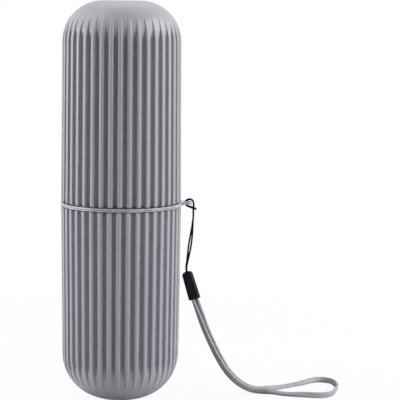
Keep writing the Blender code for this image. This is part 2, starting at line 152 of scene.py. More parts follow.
def running_sum(steps):
    """How far along each point lies: zero, then the steps added up."""
    return np.concatenate([[0.0], np.cumsum(steps)])


def quads_of(number):
    """Each face's four corners, between neighbouring rows and columns; the last column meets the first."""
    grid = np.hstack([number, number[:, :1]])
    return np.stack([grid[:-1, :-1], grid[:-1, 1:], grid[1:, 1:], grid[1:, :-1]], axis=-1)


def joined(rings, poles):
    """Points, the way from row to row, the faces' corners, and which of them count: three at a pole."""
    rows, columns = rings.shape[:2]
    number = np.arange(rows * columns).reshape(rows, columns)
    points = rings.reshape(-1, 3)
    steps = np.linalg.norm(np.diff(rings, axis=0), axis=2).max(axis=1)
    if not poles:
        steps = np.append(steps, np.linalg.norm(rings[0] - rings[-1], axis=1).max())
        corners = quads_of(np.concatenate([number, number[:1]]))
        return points, steps, corners, np.ones(corners.shape, bool)
    middles = rings.mean(axis=1)[[0, -1]]
    points = np.concatenate([points, middles])
    first, last = (np.full((1, columns), len(points) - back) for back in (2, 1))
    caps = [np.linalg.norm(rings[end] - middles[end], axis=1).max() for end in (0, -1)]
    corners = quads_of(np.concatenate([first, number, last]))
    keep = np.ones(corners.shape, bool)
    keep[0, :, 1] = False
    keep[-1, :, 3] = False
    return points, np.concatenate([caps[:1], steps, caps[1:]]), corners, keep


def strip_map(gone, strips):
    """For each row of faces: its strip, and where its two edges lie along that strip, from 0 to 1."""
    cuts = np.searchsorted(gone, np.linspace(0, gone[-1], strips + 1))
    row = np.arange(len(gone) - 1)
    strip = np.clip(np.searchsorted(cuts, row, side="right") - 1, 0, strips - 1)
    start, length = gone[cuts[strip]], gone[cuts[strip + 1]] - gone[cuts[strip]]
    return strip, (gone[row] - start) / length, (gone[row + 1] - start) / length


def rectangles(left, right, low, high):
    """For every face, the map's four corners: low left, low right, high right, high left."""
    corners = np.broadcast_arrays(left, low, right, low, right, high, left, high)
    return np.stack(corners, axis=-1).reshape(-1, 4, 2)


def skin(name, rings, poles=True, strips=1, threads=(1.0, 1), marks=None):
    """A closed skin over rings (rows, columns, 3).

    Seen with the rows running up and the columns to the right, faces look at the viewer. With poles, each
    end ring is closed by a fan to its middle; without, the last ring joins the first. Threads is how many
    pattern units one metre of length and one turn round the ring hold.
    """
    points, steps, corners, keep = joined(rings, poles)
    columns = rings.shape[1]
    gone = running_sum(steps)
    strip, low, high = strip_map(gone, strips)
    room = 1 - 2 * STRIP_MARGIN_SHARE
    across = (strip[:, None] + STRIP_MARGIN_SHARE + room * np.arange(columns + 1) / columns) / strips
    low, high = (STRIP_MARGIN_SHARE + room * edge[:, None] for edge in (low, high))
    turn = np.arange(columns + 1) / columns * threads[1]
    along = gone[:, None] * threads[0]
    maps = {
        BAKE_MAP: rectangles(across[:, :-1], across[:, 1:], low, high),
        PATTERN_MAP: rectangles(turn[:-1], turn[1:], along[:-1], along[1:]),
    }

    keep = keep.reshape(-1, 4)
    sizes = keep.sum(axis=1)
    loops = corners.reshape(-1, 4)[keep]
    mesh = bpy.data.meshes.new(name)
    mesh.vertices.add(len(points))
    mesh.vertices.foreach_set("co", points.astype(np.float32).ravel())
    mesh.loops.add(len(loops))
    mesh.loops.foreach_set("vertex_index", loops.astype(np.int32))
    mesh.polygons.add(len(sizes))
    mesh.polygons.foreach_set("loop_start", (np.cumsum(sizes) - sizes).astype(np.int32))
    for map_name, values in maps.items():
        layer = mesh.uv_layers.new(name=map_name)
        layer.uv.foreach_set("vector", values[keep].astype(np.float32).ravel())
    for mark, values in (marks or {}).items():
        values = values.ravel()
        if poles:
            values = np.append(values, [values[0], values[-1]])
        mesh.attributes.new(mark, "FLOAT", "POINT").data.foreach_set("value", values.astype(np.float32))
    mesh.update(calc_edges=True)
    mesh.shade_smooth()
    low_z, high_z = points[:, 2].min() / MM, points[:, 2].max() / MM
    print(f"{name}: {len(sizes)} faces, from {low_z:.1f} to {high_z:.1f} mm high")
    return in_scene(name, mesh)


def dress(piece, body, slot, *nodes):
    """The piece rides on a body and stands for its solids; the slot is not used."""
    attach(piece, body)
    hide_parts(*nodes)


print("three rings of eight points make", quads_of(np.arange(24).reshape(3, 8))[..., 0].size, "quads")

# %% [markdown]
# ## Smooth routes for the cords
# A cord has a fixed length and can't bend sharply, so its route is one smooth curve through listed points.
# A natural cubic spline does this: between two points it is a cubic, and slope and bend agree where pieces
# meet. The same routes place the cords' solids, so the two agree.

# %% Route helpers
FINE_POINTS_PER_KNOT = 40


def unit(vectors):
    """Vectors scaled to length one, row by row."""
    return vectors / np.linalg.norm(vectors, axis=-1, keepdims=True)


def distances(points):
    """The way from each point to the next."""
    return np.linalg.norm(np.diff(points, axis=0), axis=1)


def length_of(points):
    """The length of a chain of points."""
    return float(distances(points).sum())


def read_at(wanted, gone, rows):
    """Rows read off a chain at the wanted places, with a straight run between two rows."""
    return np.stack([np.interp(wanted, gone, column) for column in rows.T], axis=1)


def spline_through(points, count):
    """Evenly spaced rows on the natural cubic spline through a route, whatever its columns hold.

    With a share a left and b gone between P and Q, h apart, a row is a P + b Q plus a sixth of
    ((a^3 - a) bend at P + (b^3 - b) bend at Q) h^2. The bends make the slopes agree at every point.
    """
    route = np.array(points, dtype=float)
    steps = distances(route[:, :3])
    knots = running_sum(steps)
    total = len(route)
    matrix = np.eye(total)
    right = np.zeros_like(route)
    for i in range(1, total - 1):
        matrix[i, i - 1:i + 2] = steps[i - 1], 2 * (steps[i - 1] + steps[i]), steps[i]
        slope_after = (route[i + 1] - route[i]) / steps[i]
        slope_before = (route[i] - route[i - 1]) / steps[i - 1]
        right[i] = 6 * (slope_after - slope_before)
    bend = np.linalg.solve(matrix, right)
    places = np.linspace(0.0, knots[-1], FINE_POINTS_PER_KNOT * total)
    i = np.clip(np.searchsorted(knots, places, side="right") - 1, 0, total - 2)
    h = steps[i][:, None]
    b = (places - knots[i])[:, None] / h
    a = 1 - b
    fine = a * route[i] + b * route[i + 1] + ((a**3 - a) * bend[i] + (b**3 - b) * bend[i + 1]) * h**2 / 6
    gone = running_sum(distances(fine[:, :3]))
    return read_at(np.linspace(0.0, gone[-1], count), gone, fine)


def twisted_widths(places, twist_deg):
    """The width direction of a flat band: level at no twist, and turned about the path by the twist."""
    tangents = unit(np.gradient(places, axis=0))
    level = unit(np.cross([0.0, 0.0, 1.0], tangents))
    upward = np.cross(tangents, level)
    twist = np.radians(twist_deg)[:, None]
    return tangents, np.cos(twist) * level + np.sin(twist) * upward


def rolled_frames(places):
    """Two directions square to a path that never spin about it: each is the last one, made square again."""
    tangents = unit(np.gradient(places, axis=0))
    side = np.zeros_like(tangents)
    side[0] = unit(np.cross(tangents[0], [0.0, 1.0, 0.0]))
    for i in range(1, len(tangents)):
        side[i] = unit(side[i - 1] - tangents[i] * (side[i - 1] @ tangents[i]))
    return side, np.cross(tangents, side)


bow = spline_through([(0, 0, 0), (1, 0, 0.5), (2, 0, 0)], 50)
print(f"a bow half a metre high over two metres is {length_of(bow):.2f} m long")

# %% [markdown]
# ## Braid as a height
# Both cords are braided. In a braid, two families of threads cross at a slant, and each thread goes over two
# and under two of the other family. Take two slanted counts: one grows with length plus width, the other
# with length minus width. The whole part of each count says which thread it is, and the fraction says how
# far across it we are. The family on top changes with the whole parts, and a thread's round back is a sine
# of the fraction. That one formula gives real relief here, and the same count in the pattern map lets the
# shader colour the same threads. A cord's threads are counted per metre of its length and once round it.

# %% Braid relief
THREADS_OVER = 2
BACK_DIP_SHARE = 0.45


def braid_height(across, along):
    """Height from 0 between threads to 1 on a thread's back, from counts across and along the braid."""
    first, second = across + along, along - across
    first_on_top = (np.floor(first) + np.floor(second)) % (2 * THREADS_OVER) < THREADS_OVER
    one, other = np.abs(np.sin(np.pi * first)), np.abs(np.sin(np.pi * second))
    back = np.where(first_on_top, one, other)
    dip = np.where(first_on_top, other, one)
    return np.sqrt(back) * (1 - BACK_DIP_SHARE + BACK_DIP_SHARE * np.sqrt(dip))


def braid_on(places, sides, threads):
    """The braid's height for every ring of a cord and every column round it."""
    across = np.arange(sides) / sides * threads[1]
    along = np.linspace(0.0, length_of(places), len(places)) * threads[0]
    return braid_height(across[None], along[:, None])


print("height across one thread:", braid_height(np.linspace(0.0, 1.0, 5), np.full(5, 0.5)).round(2))

# %% [markdown]
# ## The string
# A thin round string ties the lanyard to the ring's ear. It is one length, folded in two: the fold wraps the
# ear, both legs pass back through it, and both ends are gripped in the crimp. It could be a curve with a
# round bevel, but then it would be a smooth wire. Here each ring round the path has a radius that follows the
# braid's height, so the threads stand out in the mesh itself.

# %% String
STRING_DIAMETER = 0.9 * MM
STRING_RINGS = 900
STRING_SIDES = 32
STRING_STRIPS = 8
STRING_THREADS = (2200, 8)
STRING_RELIEF = 0.03 * MM
STRING_ROUTE = [
    (0.03388, -0.00065, 0.06154),
    (0.03310, -0.00065, 0.06370),
    (0.03285, -0.00062, 0.06580),
    (0.03318, -0.00052, 0.06950),
    (0.03382, -0.00015, 0.07600),
    (0.03522, -0.00040, 0.08500),
    (0.03590, -0.00065, 0.08950),
    (0.03618, -0.00055, 0.09260),
    (0.03622, -0.00049, 0.09580),
    (0.03630, -0.00050, 0.09850),
    (0.03571, -0.00050, 0.10022),
    (0.03415, -0.00058, 0.10083),
    (0.03274, -0.00056, 0.10023),
    (0.03225, -0.00056, 0.09897),
    (0.03262, -0.00065, 0.09793),
    (0.03346, -0.00087, 0.09734),
    (0.03461, -0.00141, 0.09702),
    (0.03576, -0.00169, 0.09652),
    (0.03694, -0.00121, 0.09612),
    (0.03744, 0.00000, 0.09598),
    (0.03694, 0.00121, 0.09612),
    (0.03576, 0.00169, 0.09652),
    (0.03461, 0.00141, 0.09702),
    (0.03346, 0.00087, 0.09734),
    (0.03262, 0.00065, 0.09793),
    (0.03225, 0.00056, 0.09897),
    (0.03274, 0.00056, 0.10023),
    (0.03415, 0.00058, 0.10083),
    (0.03571, 0.00050, 0.10022),
    (0.03630, 0.00050, 0.09850),
    (0.03622, 0.00049, 0.09580),
    (0.03620, 0.00060, 0.09260),
    (0.03608, 0.00070, 0.08950),
    (0.03592, 0.00055, 0.08500),
    (0.03502, 0.00030, 0.07600),
    (0.03371, 0.00055, 0.06950),
    (0.03313, 0.00062, 0.06580),
    (0.03323, 0.00065, 0.06370),
    (0.03388, 0.00065, 0.06154),
]


def string_rings(places):
    """Rings round the path: centre + radius (side cos a + up sin a), with the radius from the braid."""
    side, up = rolled_frames(places)
    height = braid_on(places, STRING_SIDES, STRING_THREADS)
    radius = STRING_DIAMETER / 2 - STRING_RELIEF * (1 - height)
    angle = -math.tau * np.arange(STRING_SIDES)[None, :, None] / STRING_SIDES
    spoke = np.cos(angle) * side[:, None] + np.sin(angle) * up[:, None]
    return places[:, None] + radius[..., None] * spoke, height


string_path = spline_through(STRING_ROUTE, STRING_RINGS)
rings, height = string_rings(string_path)
string = skin("string", rings, strips=STRING_STRIPS, threads=STRING_THREADS, marks={"thread": height})
dress(string, "lanyard", "string", "lanyard_string")
print(f"string: {length_of(string_path) / MM:.0f} mm long")

# %% [markdown]
# ## The wrist strap
# The strap is a flat braid, 3 mm wide and 1.6 mm thick. One length goes down from the crimp, lies on the
# table in a loop and comes back up, so two layers hang side by side. Seen from the front they start edge-on
# and turn their faces to us on the way down: that is the twist in the route's fourth column. The section is
# a rounded oblong, carried along the path with its width along the twisted direction, and the braid's height
# moves each point along the section's own normal.

# %% Strap
STRAP_WIDTH = 3.0 * MM
STRAP_THICKNESS = 1.6 * MM
STRAP_PAIR_GAP = 0.4 * MM
STRAP_RINGS = 1560
STRAP_SIDES = 56
STRAP_STRIPS = 6
STRAP_THREADS = (1150, 20)
STRAP_RELIEF = 0.12 * MM
STRAP_SQUARENESS = 3.2
OBLONG_POINTS = 4001
STRAP_PAIR_ROUTE = [
    (0.03450, 0.00000, 0.05952, 0.0),
    (0.03590, 0.00000, 0.05490, -3.0),
    (0.03738, 0.00000, 0.05008, -12.0),
    (0.03997, 0.00015, 0.04298, -28.0),
    (0.04236, 0.00050, 0.03647, -34.0),
    (0.04629, 0.00110, 0.02733, -38.0),
    (0.05162, 0.00200, 0.01693, -49.0),
    (0.05734, 0.00300, 0.00907, -61.0),
    (0.06226, 0.00390, 0.00497, -71.0),
    (0.06610, 0.00440, 0.00294, -76.0),
    (0.06960, 0.00470, 0.00196, -81.0),
]
STRAP_LOOP_ROUTE = [
    (0.07577, 0.00200, 0.00176, -138.0),
    (0.08301, -0.00106, 0.00134, -164.0),
    (0.09132, -0.00407, 0.00168, -143.0),
    (0.09839, -0.00585, 0.00178, -107.0),
    (0.10344, -0.00530, 0.00168, -91.0),
    (0.10740, -0.00250, 0.00178, -76.0),
    (0.11000, 0.00363, 0.00176, -79.0),
    (0.11205, 0.01130, 0.00176, -80.0),
    (0.11205, 0.01823, 0.00180, -71.0),
    (0.11040, 0.02400, 0.00182, -63.0),
    (0.10620, 0.02690, 0.00182, -60.0),
    (0.10280, 0.02690, 0.00180, -52.0),
    (0.09600, 0.02210, 0.00152, -27.0),
    (0.08911, 0.01768, 0.00126, -12.0),
    (0.08228, 0.01267, 0.00136, -18.0),
    (0.07571, 0.00800, 0.00182, -49.0),
]


def strap_route():
    """The whole centreline: down as one layer, round the loop, and back up as the other."""
    pair = np.array(STRAP_PAIR_ROUTE)
    tangents, widths = twisted_widths(pair[:, :3], pair[:, 3])
    across = np.cross(widths, tangents) * (STRAP_THICKNESS + STRAP_PAIR_GAP) / 2
    down, back = pair.copy(), pair.copy()
    down[:, :3] += across
    back[:, :3] -= across
    back[:, 3] = -180.0 - pair[:, 3]
    return np.concatenate([down, np.array(STRAP_LOOP_ROUTE), back[::-1]])


def oblong(half_width, half_height, power, count):
    """Even points on |x/a|^p + |y/b|^p = 1 with the outward direction at each, going once round."""
    turn = np.linspace(0.0, math.tau, OBLONG_POINTS)
    wave = np.stack([np.cos(turn), np.sin(turn)], axis=1)
    fine = (half_width, half_height) * np.sign(wave) * np.abs(wave) ** (2 / power)
    gone = running_sum(distances(fine))
    outline = read_at(np.arange(count) * gone[-1] / count, gone, fine)
    run = np.roll(outline, -1, axis=0) - np.roll(outline, 1, axis=0)
    return outline, unit(np.stack([run[:, 1], -run[:, 0]], axis=1))


def strap_rings(route):
    """Rings of the strap: the oblong laid in the width and thickness directions, lowered by the braid."""
    places = route[:, :3]
    tangents, widths = twisted_widths(places, route[:, 3])
    thick = np.cross(tangents, widths)
    outline, outward = oblong(STRAP_WIDTH / 2, STRAP_THICKNESS / 2, STRAP_SQUARENESS, STRAP_SIDES)
    height = braid_on(places, STRAP_SIDES, STRAP_THREADS)
    flat = outline - STRAP_RELIEF * (1 - height)[..., None] * outward
    laid = flat[..., :1] * widths[:, None] + flat[..., 1:] * thick[:, None]
    return (places[:, None] + laid)[:, ::-1], height[:, ::-1]


strap_path = spline_through(strap_route(), STRAP_RINGS)
rings, height = strap_rings(strap_path)
strap = skin(
    "wrist_strap_braid", rings, strips=STRAP_STRIPS, threads=STRAP_THREADS, marks={"thread": height}
)
dress(strap, "lanyard", "strap", "wrist_strap")
print(f"strap: {length_of(strap_path[:, :3]) / MM:.0f} mm long")

# %% [markdown]
# ## The crimp
# A small black sleeve of moulded plastic holds both ends of the strap below and both ends of the string
# above. It tapers towards the top, has rounded corners, and is open at its mouth. A cube with a bevel would
# do for the outside only. Here a rounded oblong is carried along a closed profile: up the outside, over the
# shoulder, down through the string's slot, and back along the bore to the mouth.

# %% Crimp
CRIMP_LENGTH = 14.3 * MM
CRIMP_MOUTH_HALF = (3.05 * MM, 2.60 * MM)
CRIMP_TOP_HALF = (2.70 * MM, 2.30 * MM)
CRIMP_CORNER = 1.6 * MM
CRIMP_CORNER_LOSS_SHARE = 0.35
CRIMP_FLAT_SHARE = 0.22
CRIMP_BEND_SHARE = 0.56
CRIMP_LIP = 0.40 * MM
CRIMP_LIP_CORNER = 0.5 * MM
CRIMP_BORE_HALF = (2.10 * MM, 1.80 * MM)
CRIMP_BORE_CORNER = 0.4 * MM
CRIMP_BORE_DEPTH = 10.0 * MM
CRIMP_SLOT_HALF = (0.75 * MM, 1.40 * MM)
CRIMP_SLOT_CORNER = 0.6 * MM
CRIMP_SLOT_EDGE = 0.25 * MM
CRIMP_MOUTH_PLACE = (0.0373, 0.0, 0.0503)
CRIMP_TILT_DEG = 16.9
CRIMP_COLUMNS = 128


def rounded_oblong(half_x, half_y, corner, columns):
    """Rings of a box with round corners: a smaller box plus the corner radius times (cos a, sin a).

    In each quarter turn the point runs along one flat, round the corner and along the next flat. A point's
    slide is its way from the bend: below zero before it, above zero after it. Rounding leaves five columns
    on a bend with a slide just off zero, so they lie on the inner box's side and make a narrow crease.
    """
    turn = (np.arange(columns) + 0.5) / columns * math.tau
    quarter = np.floor(turn / (math.pi / 2))
    swing = turn / (math.pi / 2) - quarter
    bend = np.clip((swing - CRIMP_FLAT_SHARE) / CRIMP_BEND_SHARE, 0.0, 1.0)
    slide = swing - CRIMP_FLAT_SHARE - CRIMP_BEND_SHARE * bend
    even = quarter % 2 == 0
    angle = (quarter + bend) * math.pi / 2
    box_x = (half_x - corner) * np.sign(np.cos(turn))
    box_y = (half_y - corner) * np.sign(np.sin(turn))
    left = 1 - np.abs(slide) / CRIMP_FLAT_SHARE
    on_side_x = np.where(even, slide > 0, slide < 0)
    on_side_y = np.where(even, slide < 0, slide > 0)
    x = np.where(on_side_x, box_x * left, box_x + corner * np.cos(angle))
    y = np.where(on_side_y, box_y * left, box_y + corner * np.sin(angle))
    return x, y


def quarter_turn(count):
    """Along a quarter circle, what the cosine has lost and what the sine has gained, from 0 to 1."""
    angle = np.linspace(0.0, math.pi / 2, count)
    return np.stack([1 - np.cos(angle), np.sin(angle)], axis=1)


def crimp_profile():
    """Rows of (half width, half depth, corner, height), from the bore's roof round to the slot and back."""
    mouth, top = np.array(CRIMP_MOUTH_HALF), np.array(CRIMP_TOP_HALF)
    bore, slot = np.array(CRIMP_BORE_HALF), np.array(CRIMP_SLOT_HALF)
    rows = []

    def add(half, corner, height):
        rows.append((*half, corner, height))

    def side(height):
        return mouth + (top - mouth) * height / CRIMP_LENGTH

    for height in np.linspace(CRIMP_BORE_DEPTH, CRIMP_LIP / 2, 4):
        add(bore, CRIMP_BORE_CORNER, height)
    for lost, gained in quarter_turn(4)[1:]:
        add(bore + CRIMP_LIP / 2 * lost, CRIMP_LIP_CORNER, CRIMP_LIP / 2 * (1 - gained))
    for lost, gained in quarter_turn(6):
        inset = CRIMP_LIP * (1 - gained)
        add(mouth - inset, CRIMP_CORNER - inset / 2, CRIMP_LIP * lost)
    for height in np.linspace(CRIMP_LIP, CRIMP_LENGTH - CRIMP_CORNER, 14)[1:]:
        add(side(height), CRIMP_CORNER, height)
    for lost, gained in quarter_turn(10)[1:]:
        height = CRIMP_LENGTH - CRIMP_CORNER * (1 - gained)
        add(side(height) - CRIMP_CORNER * lost, CRIMP_CORNER * (1 - CRIMP_CORNER_LOSS_SHARE * gained), height)
    for lost, gained in quarter_turn(4):
        half = slot + CRIMP_SLOT_EDGE * (1 - gained)
        add(half, CRIMP_SLOT_CORNER, CRIMP_LENGTH - CRIMP_SLOT_EDGE * lost)
    add(slot, CRIMP_SLOT_CORNER, CRIMP_BORE_DEPTH)
    return np.array(rows)


def crimp_rings():
    """The profile's oblongs in the crimp's own frame, then tilted and set on the mouth's place."""
    half_x, half_y, corner, height = crimp_profile().T[:, :, None]
    x, y = rounded_oblong(half_x, half_y, corner, CRIMP_COLUMNS)
    local = np.stack([x, y, np.broadcast_to(height, x.shape)], axis=-1)
    placing = np.array(Matrix.Translation(CRIMP_MOUTH_PLACE) @ turned(-CRIMP_TILT_DEG, "Y"))
    return local @ placing[:3, :3].T + placing[:3, 3]


crimp = skin("crimp", crimp_rings(), poles=False)
dress(crimp, "lanyard", "crimp", "crimp_sleeve")

# %% [markdown]
# ## The ribbed shells
# Each half is a moulded shell with forty ribs. On the real mould the grooves are cut with a cutter of one
# width, so a groove keeps its width all the way up, and the ribs narrow where the dome draws in. The cutter
# runs out of the dome, so the grooves fade before the smooth crown. A plain cylinder with a bump map would
# fail at the rim and at the outline, where ribs are seen end-on. So the section of one rib is worked out from
# arcs: a gently crowned top, a rounded corner, a drafted wall, a fillet and a flat floor.

# %% Sizes of the shells
OUTER_RADIUS = 30.0 * MM
RIB_COUNT = 40
GROOVE_WIDTH = 2.50 * MM
GROOVE_DEPTH = 2.1 * MM
GROOVE_END_DEG = 42.0
RIB_CROWN_RADIUS = 2.2 * MM
RIB_CORNER_RADIUS = 0.45 * MM
GROOVE_FILLET = 1.00 * MM
WALL_DRAFT_DEG = 8.0
END_WALL = 2.5 * MM
RIM_ROUND = 0.18 * MM
BORE_ROUND = 0.25 * MM
cover_low, cover_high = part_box("upper_cup")
cup_low, cup_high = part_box("lower_cup")
COVER = dict(
    up=1.0,
    rim=cover_low.z,
    height=cover_high.z - cover_low.z,
    dome=20.3 * MM,
    taper=0.40,
    wall=1.2 * MM,
    turn=-1.4,
    groove_lip=0.40 * MM,
)
CUP = dict(
    up=-1.0,
    rim=cup_high.z,
    height=cup_high.z - cup_low.z,
    dome=23.2 * MM,
    taper=0.54,
    wall=2.2 * MM,
    turn=-2.4,
    groove_lip=0.45 * MM,
)
print(f"cover {COVER['height'] / MM:.1f} mm tall, lower cup {CUP['height'] / MM:.1f} mm tall")

# %% The section of one rib
LEAST_CROWN_SHARE = 0.01
CROWN_SHARES = np.array([0.0, 0.35, 0.7, 1.0])
CORNER_SHARES = np.array([0.25, 0.5, 0.75, 1.0])
FILLET_SHARES = np.array([0.0, 0.33, 0.67, 1.0])


def half_section(radius):
    """From the middle of a rib to the middle of a groove: angle round the ring, and share of the full drop.

    The crown is an arc about a point below the rib. The corner is a smaller arc that touches it. A wall
    leans out by the draft, a fillet turns it into the floor, and the floor is flat.
    """
    radius = np.asarray(radius, float)[:, None]
    draft = math.radians(WALL_DRAFT_DEG)
    half_pitch = math.pi * radius / RIB_COUNT
    half_rib = half_pitch - GROOVE_WIDTH / 2
    lean = RIB_CROWN_RADIUS - RIB_CORNER_RADIUS
    crown_share = (half_rib - RIB_CORNER_RADIUS * math.cos(draft)) / lean
    crown_end = np.arcsin(np.clip(crown_share, LEAST_CROWN_SHARE, 1.0))
    crown = crown_end * CROWN_SHARES
    crown_along = RIB_CROWN_RADIUS * np.sin(crown)
    crown_drop = RIB_CROWN_RADIUS * (1 - np.cos(crown))
    corner = crown_end + (math.pi / 2 - draft - crown_end) * CORNER_SHARES
    corner_along = lean * np.sin(crown_end) + RIB_CORNER_RADIUS * np.sin(corner)
    corner_drop = RIB_CROWN_RADIUS - lean * np.cos(crown_end) - RIB_CORNER_RADIUS * np.cos(corner)
    wall_end = GROOVE_DEPTH - GROOVE_FILLET * (1 - math.sin(draft))
    wall_along = corner_along[:, -1:] + (wall_end - corner_drop[:, -1:]) * math.tan(draft)
    fillet = draft + (math.pi / 2 - draft) * FILLET_SHARES
    fillet_along = wall_along + GROOVE_FILLET * (math.cos(draft) - np.cos(fillet))
    fillet_drop = GROOVE_DEPTH - GROOVE_FILLET * (1 - np.sin(fillet)) + 0 * radius
    along = np.hstack([crown_along, corner_along, fillet_along, half_pitch])
    drop = np.hstack([crown_drop, corner_drop, fillet_drop, GROOVE_DEPTH + 0 * radius])
    return along / radius, drop / GROOVE_DEPTH


def whole_ring(angle, drop):
    """Mirror the half section, then set it round the ring: one angle and one drop for every column."""
    pitch = math.tau / RIB_COUNT
    angle = np.hstack([angle, pitch - angle[:, -2:0:-1]])
    drop = np.hstack([drop, drop[:, -2:0:-1]])
    starts = np.arange(RIB_COUNT) * pitch
    angles = (starts[None, :, None] + angle[:, None, :]).reshape(len(angle), -1)
    return angles, np.tile(drop, (1, RIB_COUNT))


print("a ring of ribs has", whole_ring(*half_section([OUTER_RADIUS]))[0].size, "points")

# %% [markdown]
# ## A shell from rim to crown
# The shell's outline is measured from its rim, so the same function makes the cover, which has its rim down,
# and the lower cup, which has its rim up. The rows run out from the middle of the closed end's inside, down
# the bore, round the rim, up the outside and over the dome to the crown's middle. The drop of the grooves is
# the full section times how deep the cutter runs at that height.

# %% Arcs and depths
QUICK_RISE_SHARES = (0.10, 0.50)
QUICK_DEPTH_SHARE = 0.40
LONG_RISE_POWER = 1.05


def pairs(radii, heights):
    """Points in the plane of radius and height."""
    return np.stack(np.broadcast_arrays(radii, heights), axis=1)


def arc(centre_r, centre_h, radius, start_deg, end_deg, count):
    """Points on an arc: the centre plus radius times (cos a, sin a)."""
    angle = np.radians(np.linspace(start_deg, end_deg, count))
    return pairs(centre_r + radius * np.cos(angle), centre_h + radius * np.sin(angle))


def rounded(edge_r, edge_h, radius, start_deg, count):
    """A square corner rounded by a quarter circle, whose centre lies one radius in from both faces."""
    middle = math.radians(start_deg + 45)
    centre_r = edge_r - math.copysign(radius, math.cos(middle))
    centre_h = edge_h - math.copysign(radius, math.sin(middle))
    return arc(centre_r, centre_h, radius, start_deg, start_deg + 90, count)


def groove_depth_share(height, start, end):
    """How deep the cutter runs, as a share: full on the side, then a quick rise out, then a long shallow one.

    The quick part is a smooth step, the long part a power of what is left of the run.
    """
    gone = np.clip((height - start) / (end - start), 0.0, 1.0) - QUICK_RISE_SHARES[0]
    step = np.clip(gone / (QUICK_RISE_SHARES[1] - QUICK_RISE_SHARES[0]), 0.0, 1.0)
    quick = 1 - step**2 * (3 - 2 * step)
    left = 1 - np.clip(gone / (1 - QUICK_RISE_SHARES[0]), 0.0, 1.0)
    return QUICK_DEPTH_SHARE * quick + (1 - QUICK_DEPTH_SHARE) * left**LONG_RISE_POWER


print("the cutter's depth up the dome:", groove_depth_share(np.linspace(0.0, 1.0, 5), 0.0, 1.0).round(2))

# %% The shell, and the cover
LIP_FADE = 2.0 * MM
LIP_FADE_SHARES = np.array([0.3, 0.6, 1.0])
POLE_SHARES = np.array([0.04, 0.4, 0.8])
SIDE_START = 6.0 * MM
SIDE_ROWS = 11
RIBBED_ROWS = 32
CROWN_ROWS = 13
BORE_TOP_ROWS = 12
WORN_DROP_SHARE = 0.16
WORN_SPREAD_SHARE = 0.10
LEAST_DEPTH_SHARE = 0.05


def shell_rows(shell, seat):
    """Inner rows, outer rows as (radius, height above the rim), the grooves' depth and their last radius."""
    height, dome = shell["height"], shell["dome"]
    dome_height = height - dome
    shoulder = OUTER_RADIUS - dome_height * math.tan(math.radians(shell["taper"]))
    centre = shoulder - dome
    wall = GROOVE_DEPTH + shell["wall"]
    inner_top = height - END_WALL
    bore_top = arc(centre, inner_top - (dome - wall), dome - wall, 90, 0, BORE_TOP_ROWS)
    mouth = np.array(seat or [(OUTER_RADIUS - wall, BORE_ROUND)])
    bore = np.linspace(bore_top[-1], mouth[0], 6)[1:-1]
    edge = rounded(mouth[-1, 0], 0.0, BORE_ROUND, 180, 4)
    inner = np.concatenate([pairs(centre * POLE_SHARES, inner_top), bore_top, bore, mouth[:-1], edge])
    rim = rounded(OUTER_RADIUS, 0.0, RIM_ROUND, -90, 6)
    side_h = np.append(LIP_FADE * LIP_FADE_SHARES, np.linspace(SIDE_START, dome_height, SIDE_ROWS))
    side_r = OUTER_RADIUS + (shoulder - OUTER_RADIUS) * side_h / dome_height
    ribbed = arc(centre, dome_height, dome, 0, GROOVE_END_DEG, RIBBED_ROWS)[1:]
    smooth = arc(centre, dome_height, dome, GROOVE_END_DEG, 90, CROWN_ROWS)[1:]
    flat = pairs(centre * POLE_SHARES[::-1], height)
    outer = np.concatenate([rim, pairs(side_r, side_h), ribbed, smooth, flat])
    end_radius, end_height = ribbed[-1]
    return inner, outer, groove_depth_share(outer[:, 1], dome_height, end_height), end_radius


def shell_rings(shell, seat=()):
    """Rings of a shell in the world, and two marks: how deep in a groove, and how near a rib's edge."""
    inner, outer, depth_share, end_radius = shell_rows(shell, seat)
    angles, drop = whole_ring(*half_section(np.clip(outer[:, 0], end_radius, OUTER_RADIUS)))
    drop = np.minimum(drop, depth_share[:, None])
    lift = shell["groove_lip"] * drop * np.clip(1 - outer[:, 1:] / LIP_FADE, 0.0, 1.0)
    lighter_edge = np.exp(-((drop - WORN_DROP_SHARE) / WORN_SPREAD_SHARE) ** 2)
    lighter_edge = lighter_edge * (depth_share[:, None] > LEAST_DEPTH_SHARE)
    inside = np.zeros((len(inner), angles.shape[1]))
    radius = np.concatenate([inner[:, :1] + inside, outer[:, :1] - GROOVE_DEPTH * drop])
    height = np.concatenate([inner[:, 1:] + inside, outer[:, 1:] + lift])
    angle = np.concatenate([angles[:1] + inside, angles]) + math.radians(shell["turn"] - 90)
    z = shell["rim"] + shell["up"] * height
    rings = np.stack([radius * np.cos(angle), radius * np.sin(angle), z], axis=-1)
    marks = {"groove": np.concatenate([inside, drop]), "rib_edge": np.concatenate([inside, lighter_edge])}
    if shell["up"] < 0:
        return rings[::-1], {mark: values[::-1] for mark, values in marks.items()}
    return rings, marks


rings, marks = shell_rings(COVER)
cover = skin("cover_shell", rings, marks=marks)
dress(cover, "cover", "shell", "upper_cup")

# %% [markdown]
# ## The lower cup
# The lower cup is the same shell turned over, with a wider dome and a thicker wall. Inside its rim a shallow
# seat takes the collar, so its bore has a ledge that the cover's bore lacks. The seat's size comes from the
# collar's solid plus the clearance between the two.

# %% Lower cup
FIT_GAP = 0.3 * MM
collar_low, collar_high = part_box("neck_collar")
SEAT_RADIUS = 26.4 * MM
SEAT_DEPTH = CUP["rim"] - collar_low.z + FIT_GAP
SEAT_WALL_SHARES = (0.98, 0.66, 0.33, 0.1)
LEDGE_TAPER_SHARE = 0.9
LEDGE_EASE = 0.1 * MM


